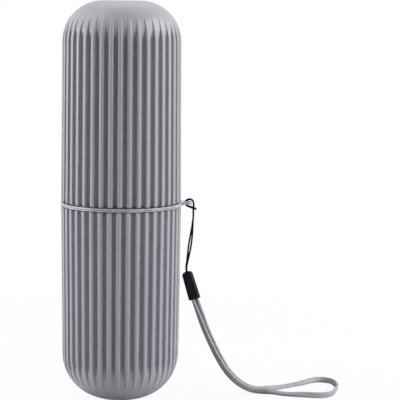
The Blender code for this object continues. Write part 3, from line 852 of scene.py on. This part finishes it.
def collar_seat():
    """The ledge and the seat wall as (radius, height above the rim), going towards the rim."""
    bore = OUTER_RADIUS - GROOVE_DEPTH - CUP["wall"]
    ledge = bore - SEAT_DEPTH * math.tan(math.radians(CUP["taper"])) * LEDGE_TAPER_SHARE
    ledges = [(ledge, SEAT_DEPTH + LEDGE_EASE), (ledge + LEDGE_EASE, SEAT_DEPTH), (SEAT_RADIUS, SEAT_DEPTH)]
    walls = [(SEAT_RADIUS, share * SEAT_DEPTH) for share in SEAT_WALL_SHARES]
    return ledges + walls + [(SEAT_RADIUS, BORE_ROUND)]


rings, marks = shell_rings(CUP, collar_seat())
cup = skin("lower_cup_shell", rings, marks=marks)
dress(cup, "case", "shell", "lower_cup")

# %% [markdown]
# ## The neck collar
# The collar is the sleeve that both shells share: seated in the cup, it rises into the cover and grips it
# with a low bead. It only shows when the cover is lifted. It is one turned profile, so each ring is a circle
# and the rows follow the profile once round.

# %% Collar
COLLAR_OUTER = 26.1 * MM
COLLAR_WALL = 1.5 * MM
COLLAR_ROUND = 0.4 * MM
FOOT_ROUND = 0.2 * MM
BEAD_HEIGHT = 0.3 * MM
BEAD_WIDTH = 1.2 * MM
BEAD_DROP = 3.5 * MM
BEAD_ROWS = 11
PAST_BEAD_SHARE = 0.8
COLLAR_ROWS = 8
TURNED_COLUMNS = 320


def turned_rings(profile, columns=TURNED_COLUMNS):
    """Circles of a profile: (radius cos a, radius sin a, height) for every row and angle."""
    angle = np.arange(columns) / columns * math.tau
    radius = profile[:, :1]
    height = np.broadcast_to(profile[:, 1:], (len(profile), columns))
    return np.stack([radius * np.cos(angle), radius * np.sin(angle), height], axis=-1)


def hump(count):
    """Places from -1 to 1, and a squared cosine that rises from 0 to 1 and falls back over them."""
    across = np.linspace(-1, 1, count)
    return across, np.cos(across * math.pi / 2) ** 2


def collar_profile():
    """Up the outside over the bead, round the top edge, down the inside and round the foot."""
    inner, outer = COLLAR_OUTER - COLLAR_WALL, COLLAR_OUTER
    low, high = collar_low.z, collar_high.z
    bead = high - BEAD_DROP
    across, swell = hump(BEAD_ROWS)
    foot = rounded(outer, low, FOOT_ROUND, -90, 4)
    side = pairs(outer, np.linspace(low + 3 * FOOT_ROUND, bead - BEAD_WIDTH, COLLAR_ROWS))
    bulge = pairs(outer + BEAD_HEIGHT * swell, bead + across * BEAD_WIDTH / 2)
    upper = pairs(outer, [bead + BEAD_WIDTH * PAST_BEAD_SHARE, high - 2 * COLLAR_ROUND])
    top_out = rounded(outer, high, COLLAR_ROUND, 0, 6)
    top_in = rounded(inner, high, COLLAR_ROUND, 90, 6)
    inside = pairs(inner, np.linspace(high - 3 * COLLAR_ROUND, low + 3 * FOOT_ROUND, COLLAR_ROWS))
    heel = rounded(inner, low, FOOT_ROUND, 180, 4)
    return np.concatenate([foot, side, bulge, upper, top_out, top_in, inside, heel])


collar = skin("collar_sleeve", turned_rings(collar_profile()), poles=False)
dress(collar, "case", "collar", "neck_collar")

# %% [markdown]
# ## The ring and its ear
# The ring is a flat washer that turns in the seam. Its outer edge has two fine lips with a shallow channel
# between them, which gives two bright lines and a darker one; the finish adds wear with a painted highlight
# on the lips and painted shade in the channel. The ear is a small flat eyelet on the right. Its outline runs
# round the hole in one closed turn, so the ear is a section carried round the hole: down the hole's wall, out
# underneath, up the outer edge with the same channel, and back in over the top. Its root flares to the ring's
# full height and reaches into it, where the two are one piece of plastic. The ring's top is a little lower
# near its edge, which leaves the dark line under the cover's rim, and painted shade darkens that recess too.

# %% Ring
ring_low, ring_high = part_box("lanyard_ring")
RING_MIDDLE = (ring_low.z + ring_high.z) / 2
RING_HALF = (ring_high.z - ring_low.z) / 2
RING_LIP = 0.28 * MM
RING_RECESS = 0.34 * MM
RING_RECESS_RUN = 1.9 * MM
CHANNEL_DEPTH = 0.42 * MM
CHANNEL_HALF = 0.32 * MM
CHANNEL_DROP = 0.25 * MM
CHANNEL_ROWS = 13
# inset at which the painted shade in the ring's seam is full; the recess floor starts there too
PAINTED_SHADE_INSET = 0.50 * MM
EASED_EDGE = 0.15 * MM


def lipped_edge(reach, half, channel_drop, recess=0.0):
    """The outer edge from its underside to its top: lip, channel, lip, as (reach, height).

    The channel is a squared cosine across its width, so it flows out of the lips with no crease.
    """
    across, dip = hump(CHANNEL_ROWS)
    channel = pairs(reach - CHANNEL_DEPTH * dip, across * CHANNEL_HALF - channel_drop)
    under = rounded(reach, -half, RING_LIP, -90, 6)
    over = rounded(reach, half - recess, RING_LIP, 0, 6)
    return np.concatenate([under, channel, over])


def eased_wall(reach, half):
    """A hole's wall from its top to its underside, with both edges eased."""
    over = rounded(reach, half, EASED_EDGE, 90, 4)
    under = rounded(reach, -half, EASED_EDGE, 180, 4)
    return np.concatenate([over, under])


def edge_marks(inset):
    """Wear with a painted highlight falls from one to zero over the lip.

    Painted shade grows inwards and ends where the recess ends.
    """
    past_recess = np.clip((inset - RING_RECESS_RUN) / RING_RECESS, 0.0, 1.0)
    return {
        # the lips: worn, and lighter as a painted highlight
        "rib_edge": 1 - np.clip(inset / RING_LIP, 0.0, 1.0),
        # the seam's recess and the channel: painted shade
        "groove": np.clip(inset / PAINTED_SHADE_INSET, 0.0, 1.0) * (1 - past_recess),
    }


def ring_profile():
    """The lipped edge, the recess, the top inwards, and the bore with eased edges."""
    step, floor = OUTER_RADIUS - RING_RECESS_RUN, RING_HALF - RING_RECESS
    recess = np.array([[OUTER_RADIUS - PAINTED_SHADE_INSET, floor], [step, floor], [step - RING_RECESS, RING_HALF]])
    rim = lipped_edge(OUTER_RADIUS, RING_HALF, CHANNEL_DROP, RING_RECESS)
    return np.concatenate([rim, recess, eased_wall(SEAT_RADIUS, RING_HALF)]) + (0.0, RING_MIDDLE)


rings = turned_rings(ring_profile())
inset = OUTER_RADIUS - np.hypot(rings[..., 0], rings[..., 1])
ring = skin("ring_band", rings, poles=False, marks=edge_marks(inset))
dress(ring, "lanyard", "ring", "lanyard_ring")

# %% Ear
EAR_HALF = 0.8 * MM
EAR_HOLE_RADIUS = 1.5 * MM
EAR_RIM = 1.0 * MM
EAR_TIP_DEG = 80.0
EAR_TIP_POINTS = 60
EAR_ROOT_HALF_WIDTH = 3.0 * MM
EAR_NECK_BACK = 3.0 * MM
EAR_HEEL_BACK = 4.6 * MM
EAR_ROOT_BACK = 4.8 * MM
EAR_FLARE_X = 31.6 * MM
EAR_FLARE_RUN = 1.6 * MM
EAR_MIDDLE = RING_MIDDLE + RING_HALF - EAR_HALF
EAR_COLUMNS = 160
EAR_OUTLINE_POINTS = 1200


def ear_reach(turn):
    """From the hole's middle to the ear's outline: an arc round the tip, then straight to the root."""
    tip = arc(0.0, 0.0, EAR_HOLE_RADIUS + EAR_RIM, -EAR_TIP_DEG, EAR_TIP_DEG, EAR_TIP_POINTS)
    neck = np.array([[-EAR_NECK_BACK, EAR_ROOT_HALF_WIDTH], [-EAR_HEEL_BACK, EAR_ROOT_HALF_WIDTH]])
    chain = np.concatenate([tip, neck, [[-EAR_ROOT_BACK, 0.0]], neck[::-1] * (1, -1), tip[:1]])
    place = np.linspace(0, len(chain) - 1, EAR_OUTLINE_POINTS, endpoint=False)
    points = read_at(place, np.arange(len(chain)), chain)
    angle = np.arctan2(points[:, 1], points[:, 0])
    order = np.argsort(angle)
    return np.interp(turn, angle[order], np.hypot(*points[order].T), period=math.tau)


def ear_rings():
    """For every angle round the hole, one closed section from the hole's wall to the outline and back."""
    turn = np.arange(EAR_COLUMNS) / EAR_COLUMNS * math.tau
    edge, hole = lipped_edge(0.0, EAR_HALF, 0.0), eased_wall(0.0, EAR_HALF)
    outer = ear_reach(turn)[:, None] + edge[:, 0]
    inner = np.broadcast_to(EAR_HOLE_RADIUS + hole[:, 0], (EAR_COLUMNS, len(hole)))
    away = np.hstack([outer, inner])
    height = np.broadcast_to(np.append(edge[:, 1], hole[:, 1]), away.shape)
    x = EAR_HOLE_X + away * np.cos(turn)[:, None]
    y = away * np.sin(turn)[:, None]
    flare = np.clip((EAR_FLARE_X - x) / EAR_FLARE_RUN, 0.0, 1.0)
    z = EAR_MIDDLE + height - flare * (RING_HALF - EAR_HALF) * (1 - height / EAR_HALF)
    inset = np.broadcast_to(np.append(-edge[:, 0], 0 * hole[:, 0]), away.shape)
    return np.stack([x, y, z], axis=-1)[:, ::-1], edge_marks(inset[:, ::-1])


rings, marks = ear_rings()
ear = skin("ring_ear", rings, poles=False, marks=marks)
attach(ear, "lanyard")

# %% [markdown]
# ## Shader helpers
# A material is a graph of small nodes. A few helpers keep the lesson short: one adds a node and fills its
# sockets, some do one sum each, and one makes a group with named sockets. A group is an effect that several
# finishes share, such as the fine grain of a mould.

# %% Node helpers
SOCKET_KINDS = {1: "Float", 3: "Vector", 4: "Color"}
BLACK = (0.0, 0.0, 0.0, 1.0)


def fill_sockets(tree, sockets, values):
    """Link each socket named to another node's output, or store a plain value in it."""
    for key, value in values.items():
        if isinstance(value, bpy.types.NodeSocket):
            tree.links.new(value, sockets[key])
        else:
            sockets[key].default_value = value


def add_node(tree, kind, inputs=None, **settings):
    """A shader node with its settings made, then its inputs filled."""
    node = tree.nodes.new(f"ShaderNode{kind}")
    for key, value in settings.items():
        setattr(node, key, value)
    fill_sockets(tree, node.inputs, inputs or {})
    return node


def math_node(tree, operation, first, second=0.5, clamp=False):
    """One sum on two values or outputs."""
    return add_node(tree, "Math", {0: first, 1: second}, operation=operation, use_clamp=clamp).outputs[0]


def plus(tree, first, second, clamp=False):
    """Two values added."""
    return math_node(tree, "ADD", first, second, clamp)


def times(tree, first, second):
    """Two values multiplied."""
    return math_node(tree, "MULTIPLY", first, second)


def swayed(tree, value, amount):
    """A value that sways about a half, made to sway about zero by the amount."""
    return times(tree, math_node(tree, "SUBTRACT", value, 0.5), amount)


def remap(tree, value, low, high, to_low=0.0, to_high=1.0):
    """A value's range stretched to another, and clamped."""
    inputs = {0: value, 1: low, 2: high, 3: to_low, 4: to_high}
    return add_node(tree, "MapRange", inputs, clamp=True).outputs[0]


def mix_colour(tree, factor, first, second):
    """Two colours mixed by a factor; a Mix node keeps its colours in sockets 6 and 7 and its result in 2."""
    return add_node(tree, "Mix", {0: factor, 6: first, 7: second}, data_type="RGBA").outputs[2]


def shaded(tree, colour, change):
    """A colour times one plus the change."""
    inputs = {0: colour, "Scale": plus(tree, change, 1.0)}
    return add_node(tree, "VectorMath", inputs, operation="SCALE").outputs[0]


def noise(tree, scale, detail, roughness=0.5):
    """Noise on the piece's own coordinates."""
    place = add_node(tree, "TexCoord").outputs["Object"]
    inputs = {"Vector": place, "Scale": scale, "Detail": detail, "Roughness": roughness}
    return add_node(tree, "TexNoise", inputs).outputs[0]


def mark_on(tree, name):
    """A mark that the skin helper stored on the mesh."""
    return add_node(tree, "Attribute", attribute_name=name).outputs["Fac"]


def new_group(name, given, result):
    """A node group with named sockets; a default's size tells the kind: a float, a vector or a colour."""
    group = bpy.data.node_groups.new(name, "ShaderNodeTree")
    for way, sockets in (("INPUT", given), ("OUTPUT", result)):
        for key, value in sockets.items():
            kind = f"NodeSocket{SOCKET_KINDS[np.size(value)]}"
            group.interface.new_socket(key, in_out=way, socket_type=kind).default_value = value
    return group, group.nodes.new("NodeGroupInput").outputs, group.nodes.new("NodeGroupOutput").inputs


def use_group(tree, group, **inputs):
    """A group placed in a material with its own values."""
    return add_node(tree, "Group", inputs, node_tree=group).outputs


def new_material(name):
    """A material with only its Principled shader and output."""
    material = bpy.data.materials.new(name)
    material.use_nodes = True
    return material, material.node_tree, material.node_tree.nodes["Principled BSDF"]


def finish_shader(tree, shader, colour, roughness, height, strength, depth, **plain):
    """Feed the shader colour, roughness and a fine bump; in a plain name an underscore is a space."""
    bump = add_node(tree, "Bump", {"Height": height, "Strength": strength, "Distance": depth})
    fed = {"Base Color": colour, "Roughness": roughness, "Normal": bump.outputs[0]}
    fill_sockets(tree, shader.inputs, fed | {key.replace("_", " "): value for key, value in plain.items()})


def paint(material, *pieces):
    """Make a material the only one of each piece."""
    for piece in pieces:
        piece.data.materials.clear()
        piece.data.materials.append(material)
        print(piece.name, "is finished in", material.name)


# %% [markdown]
# ## Moulded plastic
# Every hard piece here is moulded plastic with a satin, faintly sparkled skin. Three things keep it from
# looking like paint: the colour drifts a little where the melt flowed, the mould's spark-eroded grain breaks
# up the gloss, and handling leaves soft patches that shine more. All three come from noise on the piece's own
# coordinates, at scales of 30 mm, 4 mm and a tenth of a millimetre.

# %% Moulded skin group
FLOW_SCALE = 34.0
PATCH_SCALE = 240.0
GRAIN_SCALE = 9000.0
SPECK_SHARE = 0.5


def moulded_skin_group():
    """Colour drift, roughness patches and grain height from three noises."""
    given = dict(Colour=(0.4, 0.4, 0.42, 1.0), Drift=0.05, Roughness=0.45, Patches=0.06)
    group, given, result = new_group("moulded skin", given, dict(Colour=BLACK, Roughness=0.0, Height=0.0))
    flow, patch = noise(group, FLOW_SCALE, 3.0), noise(group, PATCH_SCALE, 4.0)
    grain = noise(group, GRAIN_SCALE, 2.0)
    sway = plus(group, swayed(group, flow, 1.0), swayed(group, grain, SPECK_SHARE))
    colour = shaded(group, given["Colour"], times(group, sway, given["Drift"]))
    rough = plus(group, given["Roughness"], swayed(group, patch, given["Patches"]), clamp=True)
    fill_sockets(group, result, {"Colour": colour, "Roughness": rough, "Height": grain})
    return group


MOULDED_SKIN = moulded_skin_group()
print("moulded skin group has", len(MOULDED_SKIN.nodes), "nodes")

# %% [markdown]
# ## Wear, dust and painted light
# A case that rides in a bag is polished on the crests of its ribs and gathers a little dust in its grooves.
# The dust colour also stands for the shade in the groove floors, so it is partly painted shade. On the ring
# the same masks paint a highlight on the lips and shade in the seam. The skin helper has stored both places
# on the mesh: how deep each point lies, and how near it is to a rib's edge. The group reads these marks,
# breaks them up with noise and gives back a mask for each.

# %% Wear, dust and painted light group
BREAK_UP_SCALE = 320.0
WEAR_AND_HIGHLIGHT_RANGE = (0.42, 0.62)
DEEP_RANGE = (0.75, 1.0)
DUST_AND_SHADE_RANGES = (0.35, 0.6, 0.35, 1.0)


def wear_dust_and_painted_light_group():
    """Masks from the mesh's marks, broken up by noise.

    One lightens edges: wear, and on the ring a painted highlight too.
    One darkens hollows: dust and painted shade.
    """
    given, result = dict(Edge=0.0, Depth=0.0), dict(Wear_and_highlight=0.0, Dust_and_shade=0.0)
    group, given, result = new_group("wear, dust and painted light", given, result)
    cloud = noise(group, BREAK_UP_SCALE, 5.0, roughness=0.6)
    lighter_edge = times(group, given["Edge"], remap(group, cloud, *WEAR_AND_HIGHLIGHT_RANGE))
    dust_and_shade_mask = times(group, remap(group, given["Depth"], *DEEP_RANGE), remap(group, cloud, *DUST_AND_SHADE_RANGES))
    fill_sockets(group, result, {"Wear_and_highlight": lighter_edge, "Dust_and_shade": dust_and_shade_mask})
    return group


WEAR_DUST_AND_PAINTED_LIGHT = wear_dust_and_painted_light_group()
print("wear group has", len(WEAR_DUST_AND_PAINTED_LIGHT.nodes), "nodes")

# %% Shell and ring plastic
COVER_COLOUR = (0.373, 0.370, 0.405, 1.0)
CUP_COLOUR = (0.396, 0.398, 0.442, 1.0)
RING_COLOUR = (0.39, 0.387, 0.415, 1.0)
SHELL_WORN = (0.47, 0.465, 0.49, 1.0)
# The groove floors are painted darker: dust, and painted shade where the grooves lie in shade.
SHELL_DUST_AND_SHADE = (0.27, 0.262, 0.268, 1.0)
# The ring's lips are painted lighter: wear and a painted highlight.
RING_WEAR_AND_HIGHLIGHT = (0.68, 0.68, 0.72, 1.0)
# The ring's channel and seam recess are painted near black: painted shade.
SEAM_PAINTED_SHADE = (0.01, 0.01, 0.01, 1.0)
SHELL_MASK_SHARES = (0.45, 0.5)
RING_MASK_SHARES = (1.0, 1.5)
POLISH_OF_WEAR = 0.08
MATT_OF_DUST_AND_SHADE = 0.15
GRAIN_DEPTH = 0.02 * MM


def worn_plastic_with_painted_light(name, colour, roughness, wear_and_highlight_colour, dust_and_shade_colour, mask_shares):
    """Satin lilac-grey plastic, lighter on its worn edges and darker in its hollows.

    The lighter lips of the ring are also a painted highlight. The darkening is dust with painted shade in the
    shells' grooves, and painted shade in the ring's seam.
    """
    material, tree, shader = new_material(name)
    out = use_group(tree, MOULDED_SKIN, Colour=colour, Roughness=roughness, Drift=0.10, Patches=0.10)
    masks = use_group(tree, WEAR_DUST_AND_PAINTED_LIGHT, Edge=mark_on(tree, "rib_edge"), Depth=mark_on(tree, "groove"))
    # lighter edges: wear, and on the ring a painted highlight as well
    lighter_edge = mix_colour(tree, times(tree, masks["Wear_and_highlight"], mask_shares[0]), out["Colour"], wear_and_highlight_colour)
    # darker hollows: dust and painted shade in the shells' grooves, painted shade in the ring's seam
    dusted_and_shaded = mix_colour(tree, times(tree, masks["Dust_and_shade"], mask_shares[1]), lighter_edge, dust_and_shade_colour)
    rough = plus(tree, out["Roughness"], times(tree, masks["Wear_and_highlight"], -POLISH_OF_WEAR))
    rough = plus(tree, rough, times(tree, masks["Dust_and_shade"], MATT_OF_DUST_AND_SHADE), clamp=True)
    finish_shader(tree, shader, dusted_and_shaded, rough, out["Height"], 0.25, GRAIN_DEPTH, Specular_IOR_Level=0.45)
    return material


paint(worn_plastic_with_painted_light("cover plastic", COVER_COLOUR, 0.42, SHELL_WORN, SHELL_DUST_AND_SHADE, SHELL_MASK_SHARES), cover)
paint(worn_plastic_with_painted_light("cup plastic", CUP_COLOUR, 0.44, SHELL_WORN, SHELL_DUST_AND_SHADE, SHELL_MASK_SHARES), cup)
paint(worn_plastic_with_painted_light("ring plastic", RING_COLOUR, 0.38, RING_WEAR_AND_HIGHLIGHT, SEAM_PAINTED_SHADE, RING_MASK_SHARES), ring, ear)

# %% Collar and crimp plastic
COLLAR_COLOUR = (0.42, 0.415, 0.44, 1.0)
CRIMP_COLOUR = (0.004, 0.004, 0.006, 1.0)


def plain_plastic(name, colour, roughness, drift=0.06, index=1.5):
    """Smooth moulded plastic for the collar and the crimp."""
    material, tree, shader = new_material(name)
    out = use_group(tree, MOULDED_SKIN, Colour=colour, Roughness=roughness, Drift=drift)
    finish_shader(tree, shader, out["Colour"], out["Roughness"], out["Height"], 0.2, GRAIN_DEPTH, IOR=index)
    return material


paint(plain_plastic("collar plastic", COLLAR_COLOUR, 0.40), collar)
paint(plain_plastic("crimp plastic", CRIMP_COLOUR, 0.10, drift=0.3, index=1.22), crimp)

# %% [markdown]
# ## Braided thread
# The braid's relief is already in the mesh. The shader adds what is finer: each thread's own tone, a
# dark line of painted shade where threads dive under each other, and the fibres that run along a thread.
# The pattern map counts threads across and along, so the same two slanted counts as in the relief name each
# thread.

# %% Braid group
RAISED_RANGE = (0.35, 0.8)
BACK_SHINE = 0.1
FIBRE_RATE = 38.0
FIBRE_SLANT_SHARE = 0.1


def braid_group():
    """Colour, roughness and fibre height for braided thread, from the pattern map and the thread mark."""
    given = dict(Thread=BLACK, Gap=BLACK, Count=(0.0, 0.0, 0.0), Raised=1.0, Variety=0.2, Roughness=0.8)
    group, given, result = new_group("braided thread", given, dict(Colour=BLACK, Roughness=0.0, Height=0.0))

    def fibres(mine, other):
        """A sine across a thread's own count, slanted a little by the other count."""
        slanted = plus(group, mine, times(group, other, FIBRE_SLANT_SHARE))
        return math_node(group, "SINE", times(group, slanted, FIBRE_RATE))

    parts = add_node(group, "SeparateXYZ", {0: given["Count"]}).outputs
    first, second = plus(group, parts[0], parts[1]), math_node(group, "SUBTRACT", parts[1], parts[0])
    whole = [math_node(group, "FLOOR", count) for count in (first, second)]
    which = math_node(group, "FLOORED_MODULO", plus(group, *whole), 2.0 * THREADS_OVER)
    on_top = math_node(group, "LESS_THAN", which, float(THREADS_OVER))
    cell = add_node(group, "CombineXYZ", {0: whole[0], 1: whole[1], 2: on_top}).outputs[0]
    shade = add_node(group, "TexWhiteNoise", {"Vector": cell}, noise_dimensions="3D").outputs[0]
    thread = shaded(group, given["Thread"], swayed(group, shade, given["Variety"]))
    raised = remap(group, given["Raised"], *RAISED_RANGE)
    sides = {0: on_top, 2: fibres(first, second), 3: fibres(second, first)}
    swap = add_node(group, "Mix", sides, data_type="FLOAT").outputs[0]
    # darker between threads, where one dives under the other: painted shade
    colour = mix_colour(group, raised, given["Gap"], thread)
    rough = plus(group, given["Roughness"], times(group, raised, -BACK_SHINE))
    fill_sockets(group, result, {"Colour": colour, "Roughness": rough, "Height": times(group, swap, 0.5)})
    return group


BRAID = braid_group()
print("braid group has", len(BRAID.nodes), "nodes")

# %% Cord materials
STRAP_THREAD = (0.55, 0.55, 0.59, 1.0)
# The gap colours paint the shade between threads.
STRAP_GAP = (0.12, 0.12, 0.14, 1.0)
STRING_THREAD = (0.004, 0.004, 0.005, 1.0)
STRING_GAP = (0.002, 0.002, 0.002, 1.0)
FIBRE_DEPTH = 0.03 * MM
SHEEN_SPREAD = 0.4


def braided(name, thread, gap, variety, roughness, sheen, shine):
    """Braided polyester with the thread colours given."""
    material, tree, shader = new_material(name)
    inputs = dict(Thread=thread, Gap=gap, Variety=variety, Roughness=roughness)
    count = add_node(tree, "UVMap", uv_map=PATTERN_MAP).outputs[0]
    out = use_group(tree, BRAID, Count=count, Raised=mark_on(tree, "thread"), **inputs)
    plain = dict(Specular_IOR_Level=shine, Sheen_Weight=sheen, Sheen_Roughness=SHEEN_SPREAD)
    finish_shader(tree, shader, out["Colour"], out["Roughness"], out["Height"], 0.3, FIBRE_DEPTH, **plain)
    return material


paint(braided("strap braid", STRAP_THREAD, STRAP_GAP, 0.35, 0.75, sheen=0.12, shine=0.3), strap)
paint(braided("string braid", STRING_THREAD, STRING_GAP, 0.5, 0.8, sheen=0.0, shine=0.05), string)

# %% [markdown]
# ## Floor, light and background
# The case stands on a plain white table under soft studio light: one lamp low at the left, one low at the
# right and a little in front, two higher ones at the sides, a weak one behind, and a dim even room. The side
# lamps make the bright strip along each rib, and the dim front keeps the faces grey. The white of the
# picture isn't made with more light. The floor and the world simply show white to the camera and to mirror
# rays, and the floor keeps a share of its real shading, so the case still has its shadow.

# %% Floor
FLOOR_RADIUS = 6.0
FLOOR_HUB = 0.01
FLOOR_RINGS = 24
FLOOR_COLUMNS = 96
FLOOR_DROP = 0.02 * MM
FLOOR_ROUGHNESS = 0.9
FLOOR_BOUNCE_GREY = 0.42
FLOOR_SHOWN_GREY = 0.90
FLOOR_SHOWN_WHITE_SHARE = 0.93
SHADE_REACH = (0.08, 0.35)
CONTACT_REACH = (0.030, 0.200)


def grey(level):
    """A neutral colour."""
    return (level, level, level, 1.0)


def seen_directly(tree):
    """One for rays from the camera, a mirror or glass, and zero for the light that fills the room."""
    path = add_node(tree, "LightPath").outputs
    first = plus(tree, path["Is Camera Ray"], path["Is Glossy Ray"])
    return plus(tree, first, path["Is Transmission Ray"], clamp=True)


def mix_shaders(tree, factor, first, second):
    """The outputs of two shaders mixed by a factor."""
    return add_node(tree, "MixShader", {0: factor, 1: first.outputs[0], 2: second.outputs[0]})


def white_table():
    """Plain grey to the light that it sends back, and white to the eye but for a share of its own shading.

    The white share grows to one away from the case. Mirror rays lose it close to the base, so the case's
    underside still darkens towards the table.
    """
    material, tree, shader = new_material("white table")
    plain = {"Base Color": grey(FLOOR_BOUNCE_GREY), "Roughness": FLOOR_ROUGHNESS, "Specular IOR Level": 0.0}
    fill_sockets(tree, shader.inputs, plain)
    place = add_node(tree, "TexCoord").outputs["Object"]
    reach = add_node(tree, "VectorMath", {0: place}, operation="LENGTH").outputs["Value"]
    shown = add_node(tree, "BsdfDiffuse", {"Color": grey(FLOOR_SHOWN_GREY)})
    glow = add_node(tree, "Emission", {"Color": grey(1.0), "Strength": 1.0})
    white = remap(tree, reach, *SHADE_REACH, FLOOR_SHOWN_WHITE_SHARE, 1.0)
    glossy = add_node(tree, "LightPath").outputs["Is Glossy Ray"]
    lost = times(tree, glossy, remap(tree, reach, *CONTACT_REACH, 1.0, 0.0))
    white = times(tree, white, math_node(tree, "SUBTRACT", 1.0, lost))
    mix = mix_shaders(tree, seen_directly(tree), shader, mix_shaders(tree, white, shown, glow))
    tree.links.new(mix.outputs[0], tree.nodes["Material Output"].inputs["Surface"])
    return material


def add_floor():
    """A wide flat disc of growing rings, with one face at its hub."""
    reach = np.geomspace(FLOOR_HUB, FLOOR_RADIUS, FLOOR_RINGS)[::-1]
    points = turned_rings(pairs(reach, -FLOOR_DROP), FLOOR_COLUMNS)
    number = np.arange(FLOOR_RINGS * FLOOR_COLUMNS).reshape(FLOOR_RINGS, FLOOR_COLUMNS)
    faces = quads_of(number).reshape(-1, 4).tolist() + number[-1:].tolist()
    mesh = bpy.data.meshes.new("floor")
    mesh.from_pydata(points.reshape(-1, 3).tolist(), [], faces)
    mesh.materials.append(white_table())
    floor = in_scene("floor", mesh)
    floor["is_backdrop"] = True
    print("floor:", len(faces), "faces")


add_floor()

# %% World
ROOM_LEVEL = 0.045


def add_world():
    """A room of one soft grey that shows white to the camera and in reflections."""
    world = bpy.data.worlds.new("room")
    bpy.context.scene.world = world
    world.use_nodes = True
    tree = world.node_tree
    tree.nodes.clear()
    room, white = (
        add_node(tree, "Background", {"Color": grey(1.0), "Strength": level}) for level in (ROOM_LEVEL, 1.0)
    )
    mix = mix_shaders(tree, seen_directly(tree), room, white)
    add_node(tree, "OutputWorld", {"Surface": mix.outputs[0]})
    print("room light:", ROOM_LEVEL)


add_world()

# %% Lamps
LAMP_SIZE = (0.42, 0.36)
LAMPS = {
    "left lamp": dict(aside_deg=-85, above_deg=10, power=4.30),
    "high left lamp": dict(aside_deg=-85, above_deg=60, power=1.60),
    "front right lamp": dict(aside_deg=60, above_deg=10, power=2.40),
    "high right lamp": dict(aside_deg=85, above_deg=32, power=3.30),
    "back lamp": dict(aside_deg=180, above_deg=60, power=0.90),
}
LAMP_TARGET = Vector((0.0, 0.0, 0.10))
LAMP_REACH = 0.70


def add_lamp(name, aside_deg, above_deg, power):
    """A soft rectangular lamp, turned aside from the viewer, raised, and facing in at the case."""
    aside, above = math.radians(aside_deg), math.radians(above_deg)
    level = math.cos(above)
    away = Vector((level * math.sin(aside), -level * math.cos(aside), math.sin(above)))
    place = LAMP_TARGET + LAMP_REACH * away
    data = bpy.data.lights.new(name, "AREA")
    data.shape = "RECTANGLE"
    data.size, data.size_y = LAMP_SIZE
    data.energy = power
    facing = (-away).to_track_quat("-Z", "Y")
    in_scene(name, data).matrix_world = Matrix.Translation(place) @ facing.to_matrix().to_4x4()
    print(f"{name}: {power} W")


for name, lamp in LAMPS.items():
    add_lamp(name, **lamp)
bpy.context.scene.view_settings.view_transform = "Standard"
